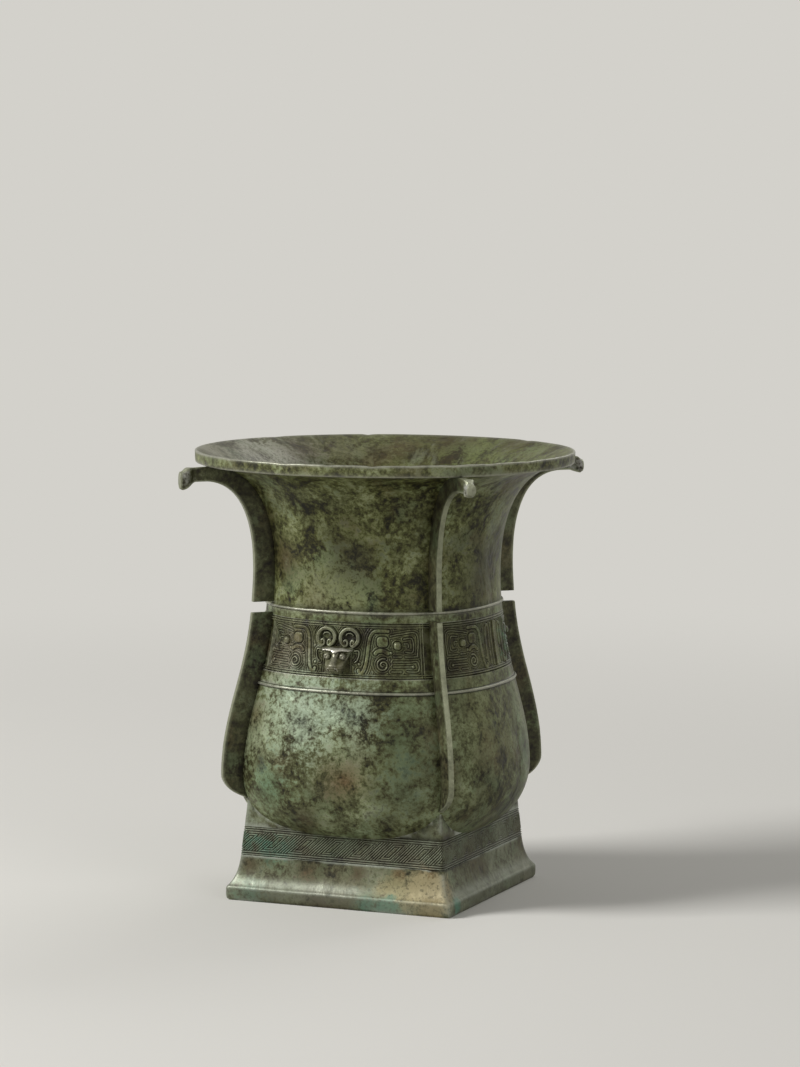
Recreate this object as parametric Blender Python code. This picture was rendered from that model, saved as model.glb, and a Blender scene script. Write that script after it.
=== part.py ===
"""Bronze fang zun: a wine vessel with a round trumpet mouth, a pouch belly and a hollow square foot.

Metres, +Z up. The origin is the centre of the foot's base. The foot's sides face X and Y, so the flanges,
which stand over the foot's corners, lie on the diagonals. The -Y side is the front.
"""

import math

import bmesh
import bpy
from mathutils import Matrix, Vector

# Mouth and neck
HEIGHT = 0.2400
MOUTH_RADIUS = 0.1025
LIP_HEIGHT = 0.0064
LIP_LEAN = 0.0010
LIP_EDGE = 0.0012
WAIST_HALF_WIDTH = 0.0612
WAIST_Z = 0.1720
FLARE_DEPTH = 0.0186
FLARE_RUN = 0.0230
INNER_FLARE_DEPTH = 0.0260
INNER_FLARE_RUN = 0.0250
INNER_FLARE_DIP = 0.0110

# Belly
WALL = 0.0038
BELLY_HALF_WIDTH = 0.0757
BELLY_Z = 0.0690
SHOULDER_DROP = 0.0500
BELLY_RISE = 0.0350
BELLY_DROP = 0.0180
FLOOR_Z = 0.0340
FLOOR_HALF_WIDTH = 0.0420
FLOOR_RUN = 0.0220

# How square the round sections are: 2 is a circle, and larger draws the corners out
MOUTH_SQUARENESS = 2.00
WAIST_SQUARENESS = 2.30
BELLY_SQUARENESS = 2.60

# Raised string lines and the borders of the ornament band
UPPER_STRING_Z = 0.1585
LOWER_STRING_Z = 0.1169
STRING_WIDTH = 0.0022
STRING_RELIEF = 0.0009
BAND_TOP_Z = 0.1522
BAND_BOTTOM_Z = 0.1252
BORDER_WIDTH = 0.0012
BORDER_RELIEF = 0.0005

# Square foot
FOOT_HALF_WIDTH = 0.0650
FOOT_LIP_HEIGHT = 0.0070
FOOT_SWEEP_TOP_Z = 0.0240
FOOT_SWEEP_HALF_WIDTH = 0.0588
FOOT_SWEEP_TOE = 0.0034
FOOT_SWEEP_HEEL = 0.0090
FOOT_TAPER = 0.0920
FOOT_WALL = 0.0045

# Corner flanges
FLANGE_HEIGHT = 0.0116
FLANGE_THICKNESS = 0.0028
FLANGE_TAIL = 0.0130
NECK_FLANGE_RAISE = 0.0008
BELLY_FLANGE_DROP = 0.0028
BELLY_FLANGE_END_Z = 0.0550
HOOK_BAR = 0.0078
HOOK_REACH = 0.0148
HOOK_LENGTH = 0.0086
HOOK_DROP = 0.0118
HOOK_WIDTH = 0.0063

# Animal heads on the front and back, and the low ridges on the other two sides
HEAD_HALF_WIDTH = 0.0079
HEAD_PROJECTION = 0.0080
BROW_BELOW_BAND_TOP = 0.0118
MUZZLE_ABOVE_BAND_BOTTOM = 0.0012
EYE_RADIUS = 0.0021
EYE_SPACING = 0.0098
EAR_LENGTH = 0.0042
HORN_SPAN = 0.0250
HORN_GAP = 0.0016
HORN_THICKNESS = 0.0021
HORN_RELIEF = 0.0030
RIDGE_THICKNESS = 0.0022
RIDGE_HEIGHT = 0.0014

# Casting spacers let into the floor
SPACER_SIDE = 0.0080
SPACER_PITCH = 0.0400

# Fit and smoothness
CLEARANCE = 0.0003
FACETS = 48
CURVE_STEPS = 9
INNER_STEPS = 6
TAIL_STEPS = 6

LIP_Z = HEIGHT - LIP_HEIGHT
LIP_UNDER_RADIUS = MOUTH_RADIUS - LIP_LEAN
JOINT_Z = UPPER_STRING_Z - STRING_WIDTH / 2
BRONZE_OLIVE = (0.16, 0.17, 0.10)
BRONZE_DARK = (0.09, 0.09, 0.06)
BRONZE_WORN = (0.30, 0.27, 0.19)


def bezier(start, lead, approach, end, steps=CURVE_STEPS):
    """Points along a cubic curve, with both ends."""
    points = []
    for step in range(steps + 1):
        t = step / steps
        s = 1 - t
        weights = (s ** 3, 3 * s * s * t, 3 * s * t * t, t ** 3)
        controls = (start, lead, approach, end)
        points.append(tuple(sum(w * p[k] for w, p in zip(weights, controls)) for k in (0, 1)))
    return points


def width_at(path, z):
    """Half width where a rising path of (half width, z) reaches z."""
    for (r0, z0), (r1, z1) in zip(path, path[1:]):
        if z0 <= z <= z1:
            return r0 + (r1 - r0) * (z - z0) / max(z1 - z0, 1e-9)
    return path[0][0] if z < path[0][1] else path[-1][0]


def between(path, low, high):
    """The stretch of a rising path from low to high, with points put in at both ends."""
    inside = [p for p in path if low + 1e-5 < p[1] < high - 1e-5]
    return [(width_at(path, low), low), *inside, (width_at(path, high), high)]


def with_rib(path, z, width, relief):
    """The path with a flat-topped rib standing on it."""
    low, high, crown = z - width / 2, z + width / 2, width / 4
    rib = [(width_at(path, low), low)]
    rib += [(width_at(path, h) + relief, h) for h in (z - crown, z + crown)]
    rib += [(width_at(path, high), high)]
    below = [p for p in path if p[1] < low - 1e-5]
    above = [p for p in path if p[1] > high + 1e-5]
    return [*below, *rib, *above]


def offset(path, distance):
    """The path moved sideways, outwards for a positive distance."""
    moved = []
    for i, (r, z) in enumerate(path):
        before, after = path[max(i - 1, 0)], path[min(i + 1, len(path) - 1)]
        run, rise = after[0] - before[0], after[1] - before[1]
        length = math.hypot(run, rise)
        reach = distance(i) if callable(distance) else distance
        moved.append((r + reach * rise / length, z - reach * run / length))
    return moved


# Outlines of the wall at the middle of a side, as rising paths of (half width, z)
UNDERSIDE = bezier(
    (FLOOR_HALF_WIDTH, FLOOR_Z),
    (FLOOR_HALF_WIDTH + FLOOR_RUN, FLOOR_Z),
    (BELLY_HALF_WIDTH, BELLY_Z - BELLY_DROP),
    (BELLY_HALF_WIDTH, BELLY_Z),
)
SHOULDER = bezier(
    (BELLY_HALF_WIDTH, BELLY_Z),
    (BELLY_HALF_WIDTH, BELLY_Z + BELLY_RISE),
    (WAIST_HALF_WIDTH, WAIST_Z - SHOULDER_DROP),
    (WAIST_HALF_WIDTH, WAIST_Z),
)
FLARE = bezier(
    (WAIST_HALF_WIDTH, WAIST_Z),
    (WAIST_HALF_WIDTH, LIP_Z - FLARE_DEPTH),
    (LIP_UNDER_RADIUS - FLARE_RUN, LIP_Z),
    (LIP_UNDER_RADIUS, LIP_Z),
)
INNER_FLARE = bezier(
    (WAIST_HALF_WIDTH - WALL, WAIST_Z),
    (WAIST_HALF_WIDTH - WALL, HEIGHT - INNER_FLARE_DEPTH),
    (MOUTH_RADIUS - LIP_EDGE - INNER_FLARE_RUN, HEIGHT - INNER_FLARE_DIP),
    (MOUTH_RADIUS - LIP_EDGE, HEIGHT),
    steps=INNER_STEPS,
)
INNER_BOWL = bezier(
    (FLOOR_HALF_WIDTH, FLOOR_Z + WALL),
    (FLOOR_HALF_WIDTH + FLOOR_RUN - WALL, FLOOR_Z + WALL),
    (BELLY_HALF_WIDTH - WALL, BELLY_Z - BELLY_DROP + WALL),
    (BELLY_HALF_WIDTH - WALL, BELLY_Z + WALL),
    steps=INNER_STEPS,
)
BODY = [*UNDERSIDE, *SHOULDER[1:]]
INNER_SHOULDER = [(r - WALL, z) for r, z in SHOULDER[::2] if z > BELLY_Z + 2 * WALL]


def squareness(z):
    """How square the wall's section is at a height."""
    stations = ((BELLY_Z, BELLY_SQUARENESS), (WAIST_Z, WAIST_SQUARENESS), (HEIGHT, MOUTH_SQUARENESS))
    for (z0, n0), (z1, n1) in zip(stations, stations[1:]):
        if z0 <= z <= z1:
            return n0 + (n1 - n0) * (z - z0) / (z1 - z0)
    return BELLY_SQUARENESS if z < BELLY_Z else MOUTH_SQUARENESS


def corner(path):
    """The same path measured on the diagonal, where the section reaches furthest out."""
    return [(r * 2 ** (0.5 - 1 / squareness(z)), z) for r, z in path]


def section(half_width, z):
    """One closed ring of the wall."""
    n = squareness(z)
    ring = []
    for k in range(FACETS):
        angle = 2 * math.pi * k / FACETS
        c, s = math.cos(angle), math.sin(angle)
        r = half_width / (abs(c) ** n + abs(s) ** n) ** (1 / n)
        ring.append((r * c, r * s, z))
    return ring


def square(half_width, z):
    """One closed ring of the foot."""
    signs = ((1, -1), (1, 1), (-1, 1), (-1, -1))
    return [(half_width * sx, half_width * sy, z) for sx, sy in signs]


def skin(rings, around=False):
    """A closed mesh over rings of equal count. It joins last to first if around, and else caps both ends."""
    bm = bmesh.new()
    loops = [[bm.verts.new(p) for p in ring] for ring in rings]
    pairs = list(zip(loops, loops[1:]))
    if around:
        pairs.append((loops[-1], loops[0]))
    else:
        bm.faces.new(loops[0])
        bm.faces.new(loops[-1])
    for lower, upper in pairs:
        for k in range(len(lower)):
            j = (k + 1) % len(lower)
            bm.faces.new((lower[k], lower[j], upper[j], upper[k]))
    bmesh.ops.recalc_face_normals(bm, faces=bm.faces)
    return bm


def patinated_bronze(name, colour, roughness, metallic):
    material = bpy.data.materials.new(name)
    material.use_nodes = True
    shader = material.node_tree.nodes["Principled BSDF"]
    shader.inputs["Base Color"].default_value = (*colour, 1)
    shader.inputs["Roughness"].default_value = roughness
    shader.inputs["Metallic"].default_value = metallic
    return material


def add(name, bm, colour=BRONZE_OLIVE, roughness=0.6, metallic=0.5, smooth=30):
    """A bmesh as a named object on the vessel's empty, smooth but for edges sharper than an angle."""
    mesh = bpy.data.meshes.new(name)
    bm.to_mesh(mesh)
    bm.free()
    mesh.shade_smooth()
    mesh.set_sharp_from_angle(angle=math.radians(smooth))
    mesh.materials.append(patinated_bronze(name + "_bronze", colour, roughness, metallic))
    obj = bpy.data.objects.new(name, mesh)
    bpy.context.scene.collection.objects.link(obj)
    obj.parent = vessel
    return obj


def helper(name, bm):
    """A solid that only shapes others."""
    obj = add(name, bm)
    obj.hide_render = True
    obj.display_type = "WIRE"
    return obj


def combine(obj, other, operation):
    modifier = obj.modifiers.new(other.name, "BOOLEAN")
    modifier.operation = operation
    modifier.object = other
    modifier.solver = "EXACT"


def fin(root, edge, half_thickness, azimuth):
    """An upright fin between a root path and an edge path, turned about the vessel's axis."""
    rungs = []
    for (r0, z0), (r1, z1), half in zip(root, edge, half_thickness):
        rungs.append([(r0, -half, z0), (r1, -half, z1), (r1, half, z1), (r0, half, z0)])
    bm = skin(rungs)
    bmesh.ops.rotate(bm, verts=bm.verts, matrix=Matrix.Rotation(math.radians(azimuth), 3, "Z"))
    return bm


def outer_wall(low, high, ribs):
    path = between([*BODY, *FLARE[1:]], low, high)
    for rib in ribs:
        path = with_rib(path, *rib)
    return path


UPPER_STRING = (UPPER_STRING_Z, STRING_WIDTH, STRING_RELIEF)
LOWER_STRING = (LOWER_STRING_Z, STRING_WIDTH, STRING_RELIEF)
BAND_TOP = (BAND_TOP_Z, BORDER_WIDTH, BORDER_RELIEF)
BAND_BOTTOM = (BAND_BOTTOM_Z, BORDER_WIDTH, BORDER_RELIEF)
NECK_WALL = outer_wall(JOINT_Z, LIP_Z, [UPPER_STRING])
BELLY_WALL = outer_wall(FLOOR_Z, JOINT_Z - CLEARANCE, [BAND_TOP, BAND_BOTTOM, LOWER_STRING])


def mouth_and_neck():
    """The trumpet above the upper string, with its upright lip."""
    lip = [(MOUTH_RADIUS, HEIGHT), (MOUTH_RADIUS - LIP_EDGE, HEIGHT)]
    inside = between([*INNER_SHOULDER, *INNER_FLARE[1:-1]], JOINT_Z, INNER_FLARE[-2][1])
    path = [*NECK_WALL, *lip, *reversed(inside)]
    return add("mouth_and_neck", skin([section(r, z) for r, z in path], around=True))


def belly():
    """The pouch below the upper string, closed by a floor that has a square seat for each spacer."""
    inside = between([*INNER_BOWL, *INNER_SHOULDER], FLOOR_Z + WALL, JOINT_Z - CLEARANCE)
    path = [*BELLY_WALL, *reversed(inside)]
    pouch = add("belly", skin([section(r, z) for r, z in path]))
    for k, place in enumerate(spacer_places()):
        seat = bmesh.new()
        bmesh.ops.create_cube(seat, size=1)
        bmesh.ops.scale(seat, verts=seat.verts, vec=(SPACER_SIDE, SPACER_SIDE, 3 * WALL))
        bmesh.ops.translate(seat, verts=seat.verts, vec=place)
        combine(pouch, helper(f"spacer_seat_{k}", seat), "DIFFERENCE")
    return pouch


def spacer_places():
    half = SPACER_PITCH / 2
    middle = FLOOR_Z + WALL / 2
    return [Vector((half * sx, half * sy, middle)) for sx, sy in ((1, -1), (1, 1), (-1, 1), (-1, -1))]


def casting_spacers():
    """The squares of bronze that held the core off the mould while the floor was poured."""
    for name, place in zip(("front_right", "back_right", "back_left", "front_left"), spacer_places()):
        bm = bmesh.new()
        bmesh.ops.create_cube(bm, size=1)
        side = SPACER_SIDE - 2 * CLEARANCE
        bmesh.ops.scale(bm, verts=bm.verts, vec=(side, side, WALL))
        bmesh.ops.translate(bm, verts=bm.verts, vec=place)
        add("floor_spacer_" + name, bm, BRONZE_DARK, 0.7)


def foot_path():
    """The foot's outside at the middle of a side: upright lip, hollow sweep, then a slight taper."""
    lip_top = (FOOT_HALF_WIDTH, FOOT_LIP_HEIGHT)
    sweep_top = (FOOT_SWEEP_HALF_WIDTH, FOOT_SWEEP_TOP_Z)
    sweep = bezier(
        lip_top,
        (FOOT_HALF_WIDTH - FOOT_SWEEP_TOE, FOOT_LIP_HEIGHT + FOOT_SWEEP_TOE),
        (FOOT_SWEEP_HALF_WIDTH + FOOT_TAPER * FOOT_SWEEP_HEEL, FOOT_SWEEP_TOP_Z - FOOT_SWEEP_HEEL),
        sweep_top,
        steps=5,
    )
    top = FOOT_SWEEP_HALF_WIDTH - FOOT_TAPER * (BELLY_Z - FOOT_SWEEP_TOP_Z)
    return [(FOOT_HALF_WIDTH, 0), *sweep, (top, BELLY_Z)]


def square_foot():
    """The hollow foot, cut along its top to the round underside of the belly that it carries."""
    outside = foot_path()
    inside = [(r - FOOT_WALL, z) for r, z in reversed(outside)]
    foot = add("square_foot", skin([square(r, z) for r, z in [*outside, *inside]], around=True))
    bowl = offset(between(BELLY_WALL, FLOOR_Z, BAND_BOTTOM_Z - BORDER_WIDTH), CLEARANCE)
    bowl[0] = (FLOOR_HALF_WIDTH, FLOOR_Z - CLEARANCE)
    cutter = helper("belly_in_foot", skin([section(r, z) for r, z in bowl]))
    combine(foot, cutter, "DIFFERENCE")
    return foot


CORNERS = (("front_right", -45), ("back_right", 45), ("back_left", 135), ("front_left", 225))


def neck_flanges():
    """Plain fins from the upper string to the mouth, each running under the lip to a hooked, thickened tip."""
    low = UPPER_STRING_Z + STRING_WIDTH / 2 + NECK_FLANGE_RAISE
    wall = corner(between(NECK_WALL, low, LIP_Z))
    count = len(wall) - 1
    root = offset(wall, CLEARANCE)
    root[-1] = (wall[-1][0], LIP_Z - CLEARANCE)
    edge = offset(wall, lambda i: FLANGE_HEIGHT + (HOOK_BAR - FLANGE_HEIGHT) * (i / count) ** 2)
    edge[0] = (edge[0][0], low)
    tip = MOUTH_RADIUS + HOOK_REACH
    heel = tip - HOOK_LENGTH
    top = LIP_Z - CLEARANCE
    under = edge[-1][1]
    low_point = LIP_Z - HOOK_DROP
    root += [(heel, top), (tip - HOOK_LENGTH / 2, top), (tip - HOOK_LENGTH / 8, top - HOOK_LENGTH / 8)]
    edge += [(heel, under), (tip - HOOK_LENGTH / 2, low_point), (tip - HOOK_LENGTH / 8, low_point)]
    root.append((tip, top - HOOK_LENGTH / 3))
    edge.append((tip, low_point + HOOK_LENGTH / 4))
    thin, thick = FLANGE_THICKNESS / 2, HOOK_WIDTH / 2
    halves = [thin] * (count + 1) + [thin, 0.9 * thick, thick, 0.75 * thick]
    for name, azimuth in CORNERS:
        add("neck_flange_" + name, fin(root, edge, halves, azimuth), BRONZE_DARK)


def belly_flanges():
    """Plain fins from just under the upper string, run in to nothing over the foot's corners."""
    high = JOINT_Z - BELLY_FLANGE_DROP
    low = BELLY_FLANGE_END_Z
    tail = [low + FLANGE_TAIL * step / TAIL_STEPS for step in range(TAIL_STEPS + 1)]
    wall = corner(between(BELLY_WALL, low, high))
    plain = corner(between(BODY, low, high))
    foot_corner = [(r * math.sqrt(2), z) for r, z in foot_path()]
    heights = sorted({round(z, 6) for z in [*tail, *(z for _, z in wall)]})
    full = offset([(width_at(plain, z), z) for z in heights], FLANGE_HEIGHT)
    seat = offset([(width_at(wall, z), z) for z in heights], CLEARANCE)
    root, edge = [], []
    for (r0, z0), (r1, z1) in zip(seat, full):
        r0 = max(r0, width_at(foot_corner, z0) + CLEARANCE) if z0 < BELLY_Z else r0
        short = max(1 - (z0 - low) / FLANGE_TAIL, 0)
        keep = max(1 - short ** 1.7, 0.08)
        root.append((r0, z0))
        edge.append((r0 + (r1 - r0) * keep, z0 + (z1 - z0) * keep))
    halves = [FLANGE_THICKNESS / 2] * len(root)
    for name, azimuth in CORNERS:
        add("belly_flange_" + name, fin(root, edge, halves, azimuth), BRONZE_DARK)


def band_ridges():
    """Low upright ridges that part the ornament on the two sides without a head."""
    low = BAND_BOTTOM_Z + BORDER_WIDTH
    high = BAND_TOP_Z - BORDER_WIDTH
    wall = between(BODY, low, high)
    root = offset(wall, CLEARANCE)
    edge = offset(wall, RIDGE_HEIGHT + CLEARANCE)
    halves = [RIDGE_THICKNESS / 2] * len(root)
    for name, azimuth in (("right", 0), ("left", 180)):
        add("band_ridge_" + name, fin(root, edge, halves, azimuth), BRONZE_WORN)


def wall_face(x, z):
    """How far out the wall's surface lies from the axis, x to the side of the middle of a face."""
    n = squareness(z)
    return (width_at(BODY, z) ** n - abs(x) ** n) ** (1 / n)


def head_block():
    """Brow, eye hollows and muzzle as one block, whose back follows the wall."""
    brow_z = BAND_TOP_Z - BROW_BELOW_BAND_TOP
    chin_z = BAND_BOTTOM_Z + MUZZLE_ABOVE_BAND_BOTTOM
    length = brow_z - chin_z
    stations = (
        (0.00, 0.58, 0.42),
        (0.07, 0.80, 0.80),
        (0.26, 0.90, 1.00),
        (0.44, 0.86, 0.86),
        (0.58, 0.84, 0.56),
        (0.74, 0.92, 0.58),
        (0.85, 1.00, 0.80),
        (0.94, 0.96, 0.78),
        (1.00, 0.80, 0.36),
    )
    rings = []
    arc_steps = 8
    for up, width, projection in stations:
        z = chin_z + up * length
        half, out = width * HEAD_HALF_WIDTH, projection * HEAD_PROJECTION
        ring = []
        for k in range(arc_steps + 1):
            angle = math.pi * k / arc_steps
            x = half * math.cos(angle)
            ring.append((x, -wall_face(x, z) - CLEARANCE - out * math.sin(angle) ** 0.7, z))
        ring.append((0, -wall_face(0, z) - CLEARANCE, z))
        rings.append(ring)
    return skin(rings)


def tube(path, half_width, half_height, sides=6):
    """An oval bar along a path of points that lies on the front wall, a little thinner at its far end."""
    rings = []
    outward = Vector((0, -1, 0))
    for i, point in enumerate(path):
        along = (path[min(i + 1, len(path) - 1)] - path[max(i - 1, 0)]).normalized()
        across = along.cross(outward).normalized()
        up = across.cross(along)
        size = 1 if i < len(path) - 1 else 0.8
        turns = [2 * math.pi * k / sides for k in range(sides)]
        rings.append([
            point + size * (half_width * math.cos(a) * across + half_height * math.sin(a) * up) for a in turns
        ])
    return skin(rings)


def horn(side):
    """One C-scroll horn: up from the brow, over and round, and curled in at its end."""
    half_width, half_height = HORN_THICKNESS / 2, HORN_RELIEF / 2
    foot_z = BAND_TOP_Z - BROW_BELOW_BAND_TOP
    top_z = BAND_TOP_Z - BORDER_WIDTH
    tall = (top_z - foot_z - HORN_THICKNESS) / 2
    wide = (HORN_SPAN / 2 - HORN_GAP / 2 - HORN_THICKNESS) / 2
    middle_x = HORN_GAP / 2 + half_width + wide
    middle_z = top_z - half_width - tall
    path = []
    for k in range(14):
        angle = math.radians(235 - 28 * k)
        shrink = 1 if k < 10 else 1 - 0.11 * (k - 9)
        x = side * (middle_x + shrink * wide * math.cos(angle))
        z = middle_z + shrink * tall * math.sin(angle)
        path.append(Vector((x, -wall_face(x, z) - CLEARANCE - half_height, z)))
    path.insert(0, Vector((path[0].x, path[0].y - half_height, foot_z - half_width)))
    return tube(path, half_width, half_height)


def eye(side):
    bm = bmesh.new()
    bmesh.ops.create_uvsphere(bm, u_segments=8, v_segments=6, radius=EYE_RADIUS)
    brow_z = BAND_TOP_Z - BROW_BELOW_BAND_TOP
    chin_z = BAND_BOTTOM_Z + MUZZLE_ABOVE_BAND_BOTTOM
    z = chin_z + 0.64 * (brow_z - chin_z)
    out = wall_face(0, z) + 0.50 * HEAD_PROJECTION
    bmesh.ops.translate(bm, verts=bm.verts, vec=(side * EYE_SPACING / 2, -out, z))
    return bm


def ear(side):
    """A short ear that stands out to the side under the horn."""
    brow_z = BAND_TOP_Z - BROW_BELOW_BAND_TOP
    x = HEAD_HALF_WIDTH
    radius = HORN_THICKNESS * 0.6
    z = brow_z - 2 * radius
    out = wall_face(x, z) + CLEARANCE + 1.2 * radius
    path = [
        Vector((side * (x - 2 * radius), -out - radius, z - radius / 2)),
        Vector((side * (x + EAR_LENGTH / 3), -out - radius / 2, z)),
        Vector((side * (x + EAR_LENGTH * 0.7), -out, z + radius / 2)),
    ]
    return tube(path, radius, radius)


def animal_heads():
    """The head with its horns, eyes and ears, on the middle of the front and again on the back of the band."""
    front = add("animal_head_front", head_block(), BRONZE_WORN, 0.5, 0.7)
    for maker in (horn, eye, ear):
        for side in (-1, 1):
            combine(front, helper(f"{maker.__name__}_{side}", maker(side)), "UNION")
    whole = front.evaluated_get(bpy.context.evaluated_depsgraph_get())
    back = bpy.data.objects.new("animal_head_back", bpy.data.meshes.new_from_object(whole))
    bpy.context.scene.collection.objects.link(back)
    back.data.materials[0] = patinated_bronze("animal_head_back_bronze", BRONZE_WORN, 0.5, 0.7)
    back.rotation_euler.z = math.pi
    back.parent = vessel


for old in list(bpy.data.objects):
    bpy.data.objects.remove(old)
vessel = bpy.data.objects.new("fang_zun", None)
bpy.context.scene.collection.objects.link(vessel)
mouth_and_neck()
belly()
casting_spacers()
square_foot()
neck_flanges()
belly_flanges()
band_ridges()
animal_heads()
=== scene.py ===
"""Bronze fang zun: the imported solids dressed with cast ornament, wear and the patina of a buried bronze.

Metres, +Z up, the origin in the middle of the foot's base, the front face towards -Y.
"""

import math

import bmesh
import bpy
import numpy as np
from mathutils import Matrix, Vector


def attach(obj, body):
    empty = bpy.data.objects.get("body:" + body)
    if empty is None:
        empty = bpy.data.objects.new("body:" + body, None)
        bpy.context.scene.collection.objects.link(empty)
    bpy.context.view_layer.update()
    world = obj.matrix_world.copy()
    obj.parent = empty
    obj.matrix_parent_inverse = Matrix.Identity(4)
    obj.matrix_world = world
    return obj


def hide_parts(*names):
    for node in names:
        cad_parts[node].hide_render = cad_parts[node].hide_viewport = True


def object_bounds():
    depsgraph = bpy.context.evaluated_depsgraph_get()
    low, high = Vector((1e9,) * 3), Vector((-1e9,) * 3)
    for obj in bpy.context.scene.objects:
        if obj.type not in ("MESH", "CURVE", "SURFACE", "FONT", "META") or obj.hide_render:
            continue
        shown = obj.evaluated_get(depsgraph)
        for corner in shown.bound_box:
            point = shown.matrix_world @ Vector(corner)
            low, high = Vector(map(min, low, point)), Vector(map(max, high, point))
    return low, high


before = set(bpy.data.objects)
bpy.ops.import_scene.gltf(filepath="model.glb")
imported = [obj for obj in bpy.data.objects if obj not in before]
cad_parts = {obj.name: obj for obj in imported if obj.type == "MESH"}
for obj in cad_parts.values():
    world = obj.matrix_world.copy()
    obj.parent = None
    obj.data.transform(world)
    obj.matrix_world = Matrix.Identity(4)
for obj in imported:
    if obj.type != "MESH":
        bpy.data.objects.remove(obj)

cad_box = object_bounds()

# Belly: the pouch that holds the wine, a bronze wall of about 4 mm from the floor to the upper string line.
# It is poured in one go with the neck and the foot in a clay piece-mould, so no joint shows between them.
# A long burial has covered the cast skin in sage, olive and brown corrosion with darker pits.
WALL = 0.0038
MOUTH_Z = 0.2400
BELLY_HALF, BELLY_Z = 0.0757, 0.0690
WAIST_HALF, WAIST_Z = 0.0612, 0.1720
FLOOR_HALF, FLOOR_Z = 0.0420, 0.0340
# The pulls draw the wall's curve out between the floor, the belly and the waist.
FLOOR_PULL, UNDER_PULL, SHOULDER_PULL, WAIST_PULL = 0.0640, 0.0510, 0.1040, 0.1220
JOINT_Z = 0.1574
LOWER_STRING_Z, STRING_WIDTH, STRING_RELIEF = 0.1169, 0.0019, 0.0010
BAND_LOW, BAND_HIGH, BAND_SINK = 0.1242, 0.1532, 0.0014
FLOOR_RINGS = (0.002, 0.014, 0.028)
SPACER_SINK = 0.0001
ROUND = 160
CAST_EDGE = math.radians(50)


def bezier(start, lead, approach, end, steps):
    """Points along a cubic curve, as rows of (half width, z)."""
    t = np.linspace(0, 1, steps + 1)[:, None]
    s = 1 - t
    ends = s ** 3 * np.array(start) + t ** 3 * np.array(end)
    return ends + 3 * s * s * t * np.array(lead) + 3 * s * t * t * np.array(approach)


underside = bezier(
    (FLOOR_HALF, FLOOR_Z), (FLOOR_PULL, FLOOR_Z), (BELLY_HALF, UNDER_PULL), (BELLY_HALF, BELLY_Z), 24)
shoulder = bezier(
    (BELLY_HALF, BELLY_Z), (BELLY_HALF, SHOULDER_PULL), (WAIST_HALF, WAIST_PULL), (WAIST_HALF, WAIST_Z), 60)
pouch = np.vstack((underside, shoulder[1:]))


def wall_half(z):
    """Half width of the plain outer wall at the middle of a side."""
    return np.interp(z, pouch[:, 1], pouch[:, 0])


def squareness(z):
    """How far the section is drawn out to the corners: 2 is a circle."""
    return np.interp(z, (BELLY_Z, WAIST_Z, MOUTH_Z), (2.60, 2.30, 2.00))


def squared_length(across, along, n):
    """Length of a step as a section of squareness n counts it: the same all round its outline."""
    return (across ** n + along ** n) ** (1 / n)


def string_line(z, middle, width, relief):
    """How far a half-round raised line stands out at a height."""
    across = np.clip(np.abs(z - middle) / (width / 2), 0, 1)
    return relief * (1 - across ** 2) ** 0.7


def coordinates(piece):
    places = np.empty(3 * len(piece.data.vertices))
    piece.data.vertices.foreach_get("co", places)
    return places.reshape(-1, 3)


def move_to(piece, places):
    piece.data.vertices.foreach_set("co", np.ascontiguousarray(places, dtype=np.float64).ravel())
    piece.data.update()


def raise_rings(profile):
    """Draws the selected outline up a profile of (half width, z), widening and narrowing it on the way."""
    bpy.ops.object.mode_set(mode="EDIT")
    bpy.ops.mesh.select_all(action="SELECT")
    for (r0, z0), (r1, z1) in zip(profile, profile[1:]):
        bpy.ops.mesh.extrude_region_move(TRANSFORM_OT_translate={"value": (0, 0, z1 - z0)})
        bpy.ops.transform.resize(value=(r1 / r0, r1 / r0, 1), center_override=(0, 0, z1))
    bpy.ops.object.mode_set(mode="OBJECT")


def throw(name, profile, sides=ROUND):
    """A wall raised ring by ring on a round plan, as open at both ends as its profile."""
    bpy.ops.object.select_all(action="DESELECT")
    bpy.ops.mesh.primitive_circle_add(vertices=sides, radius=profile[0][0], location=(0, 0, profile[0][1]))
    bpy.ops.object.transform_apply()
    piece = bpy.context.object
    piece.name = name
    raise_rings(profile)
    return piece


def turn_outwards():
    """Points all faces of the active piece outwards."""
    bpy.ops.object.mode_set(mode="EDIT")
    bpy.ops.mesh.select_all(action="SELECT")
    bpy.ops.mesh.normals_make_consistent(inside=False)
    bpy.ops.object.mode_set(mode="OBJECT")


def close_ends(bridge):
    """Joins the active piece's two open rings to each other, or fills each of its open rings."""
    bpy.ops.object.mode_set(mode="EDIT")
    bpy.ops.mesh.select_mode(type="EDGE")
    bpy.ops.mesh.select_all(action="DESELECT")
    bpy.ops.mesh.select_non_manifold()
    if bridge:
        bpy.ops.mesh.bridge_edge_loops()
    else:
        bpy.ops.mesh.fill_holes(sides=0)
    bpy.ops.object.mode_set(mode="OBJECT")
    turn_outwards()


def draw_out_corners(piece):
    """Turns the round plan into the vessel's rounded square, more so lower down."""
    places = coordinates(piece)
    reach = np.maximum(np.hypot(places[:, 0], places[:, 1]), 1e-9)
    across, along = np.abs(places[:, 0]) / reach, np.abs(places[:, 1]) / reach
    places[:, :2] /= squared_length(across, along, squareness(places[:, 2]))[:, None]
    move_to(piece, places)


def swell(piece, lump, depth):
    """The slight swells and hollows of a cast and corroded wall."""
    clouds = bpy.data.textures.new(piece.name + "_lumps", "CLOUDS")
    clouds.noise_scale = lump
    clouds.noise_depth = 3
    uneven = piece.modifiers.new("uneven", "DISPLACE")
    uneven.texture = clouds
    uneven.texture_coords = "LOCAL"
    uneven.strength = depth
    uneven.mid_level = 0.5
    bpy.ops.object.modifier_apply(modifier="uneven")


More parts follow.
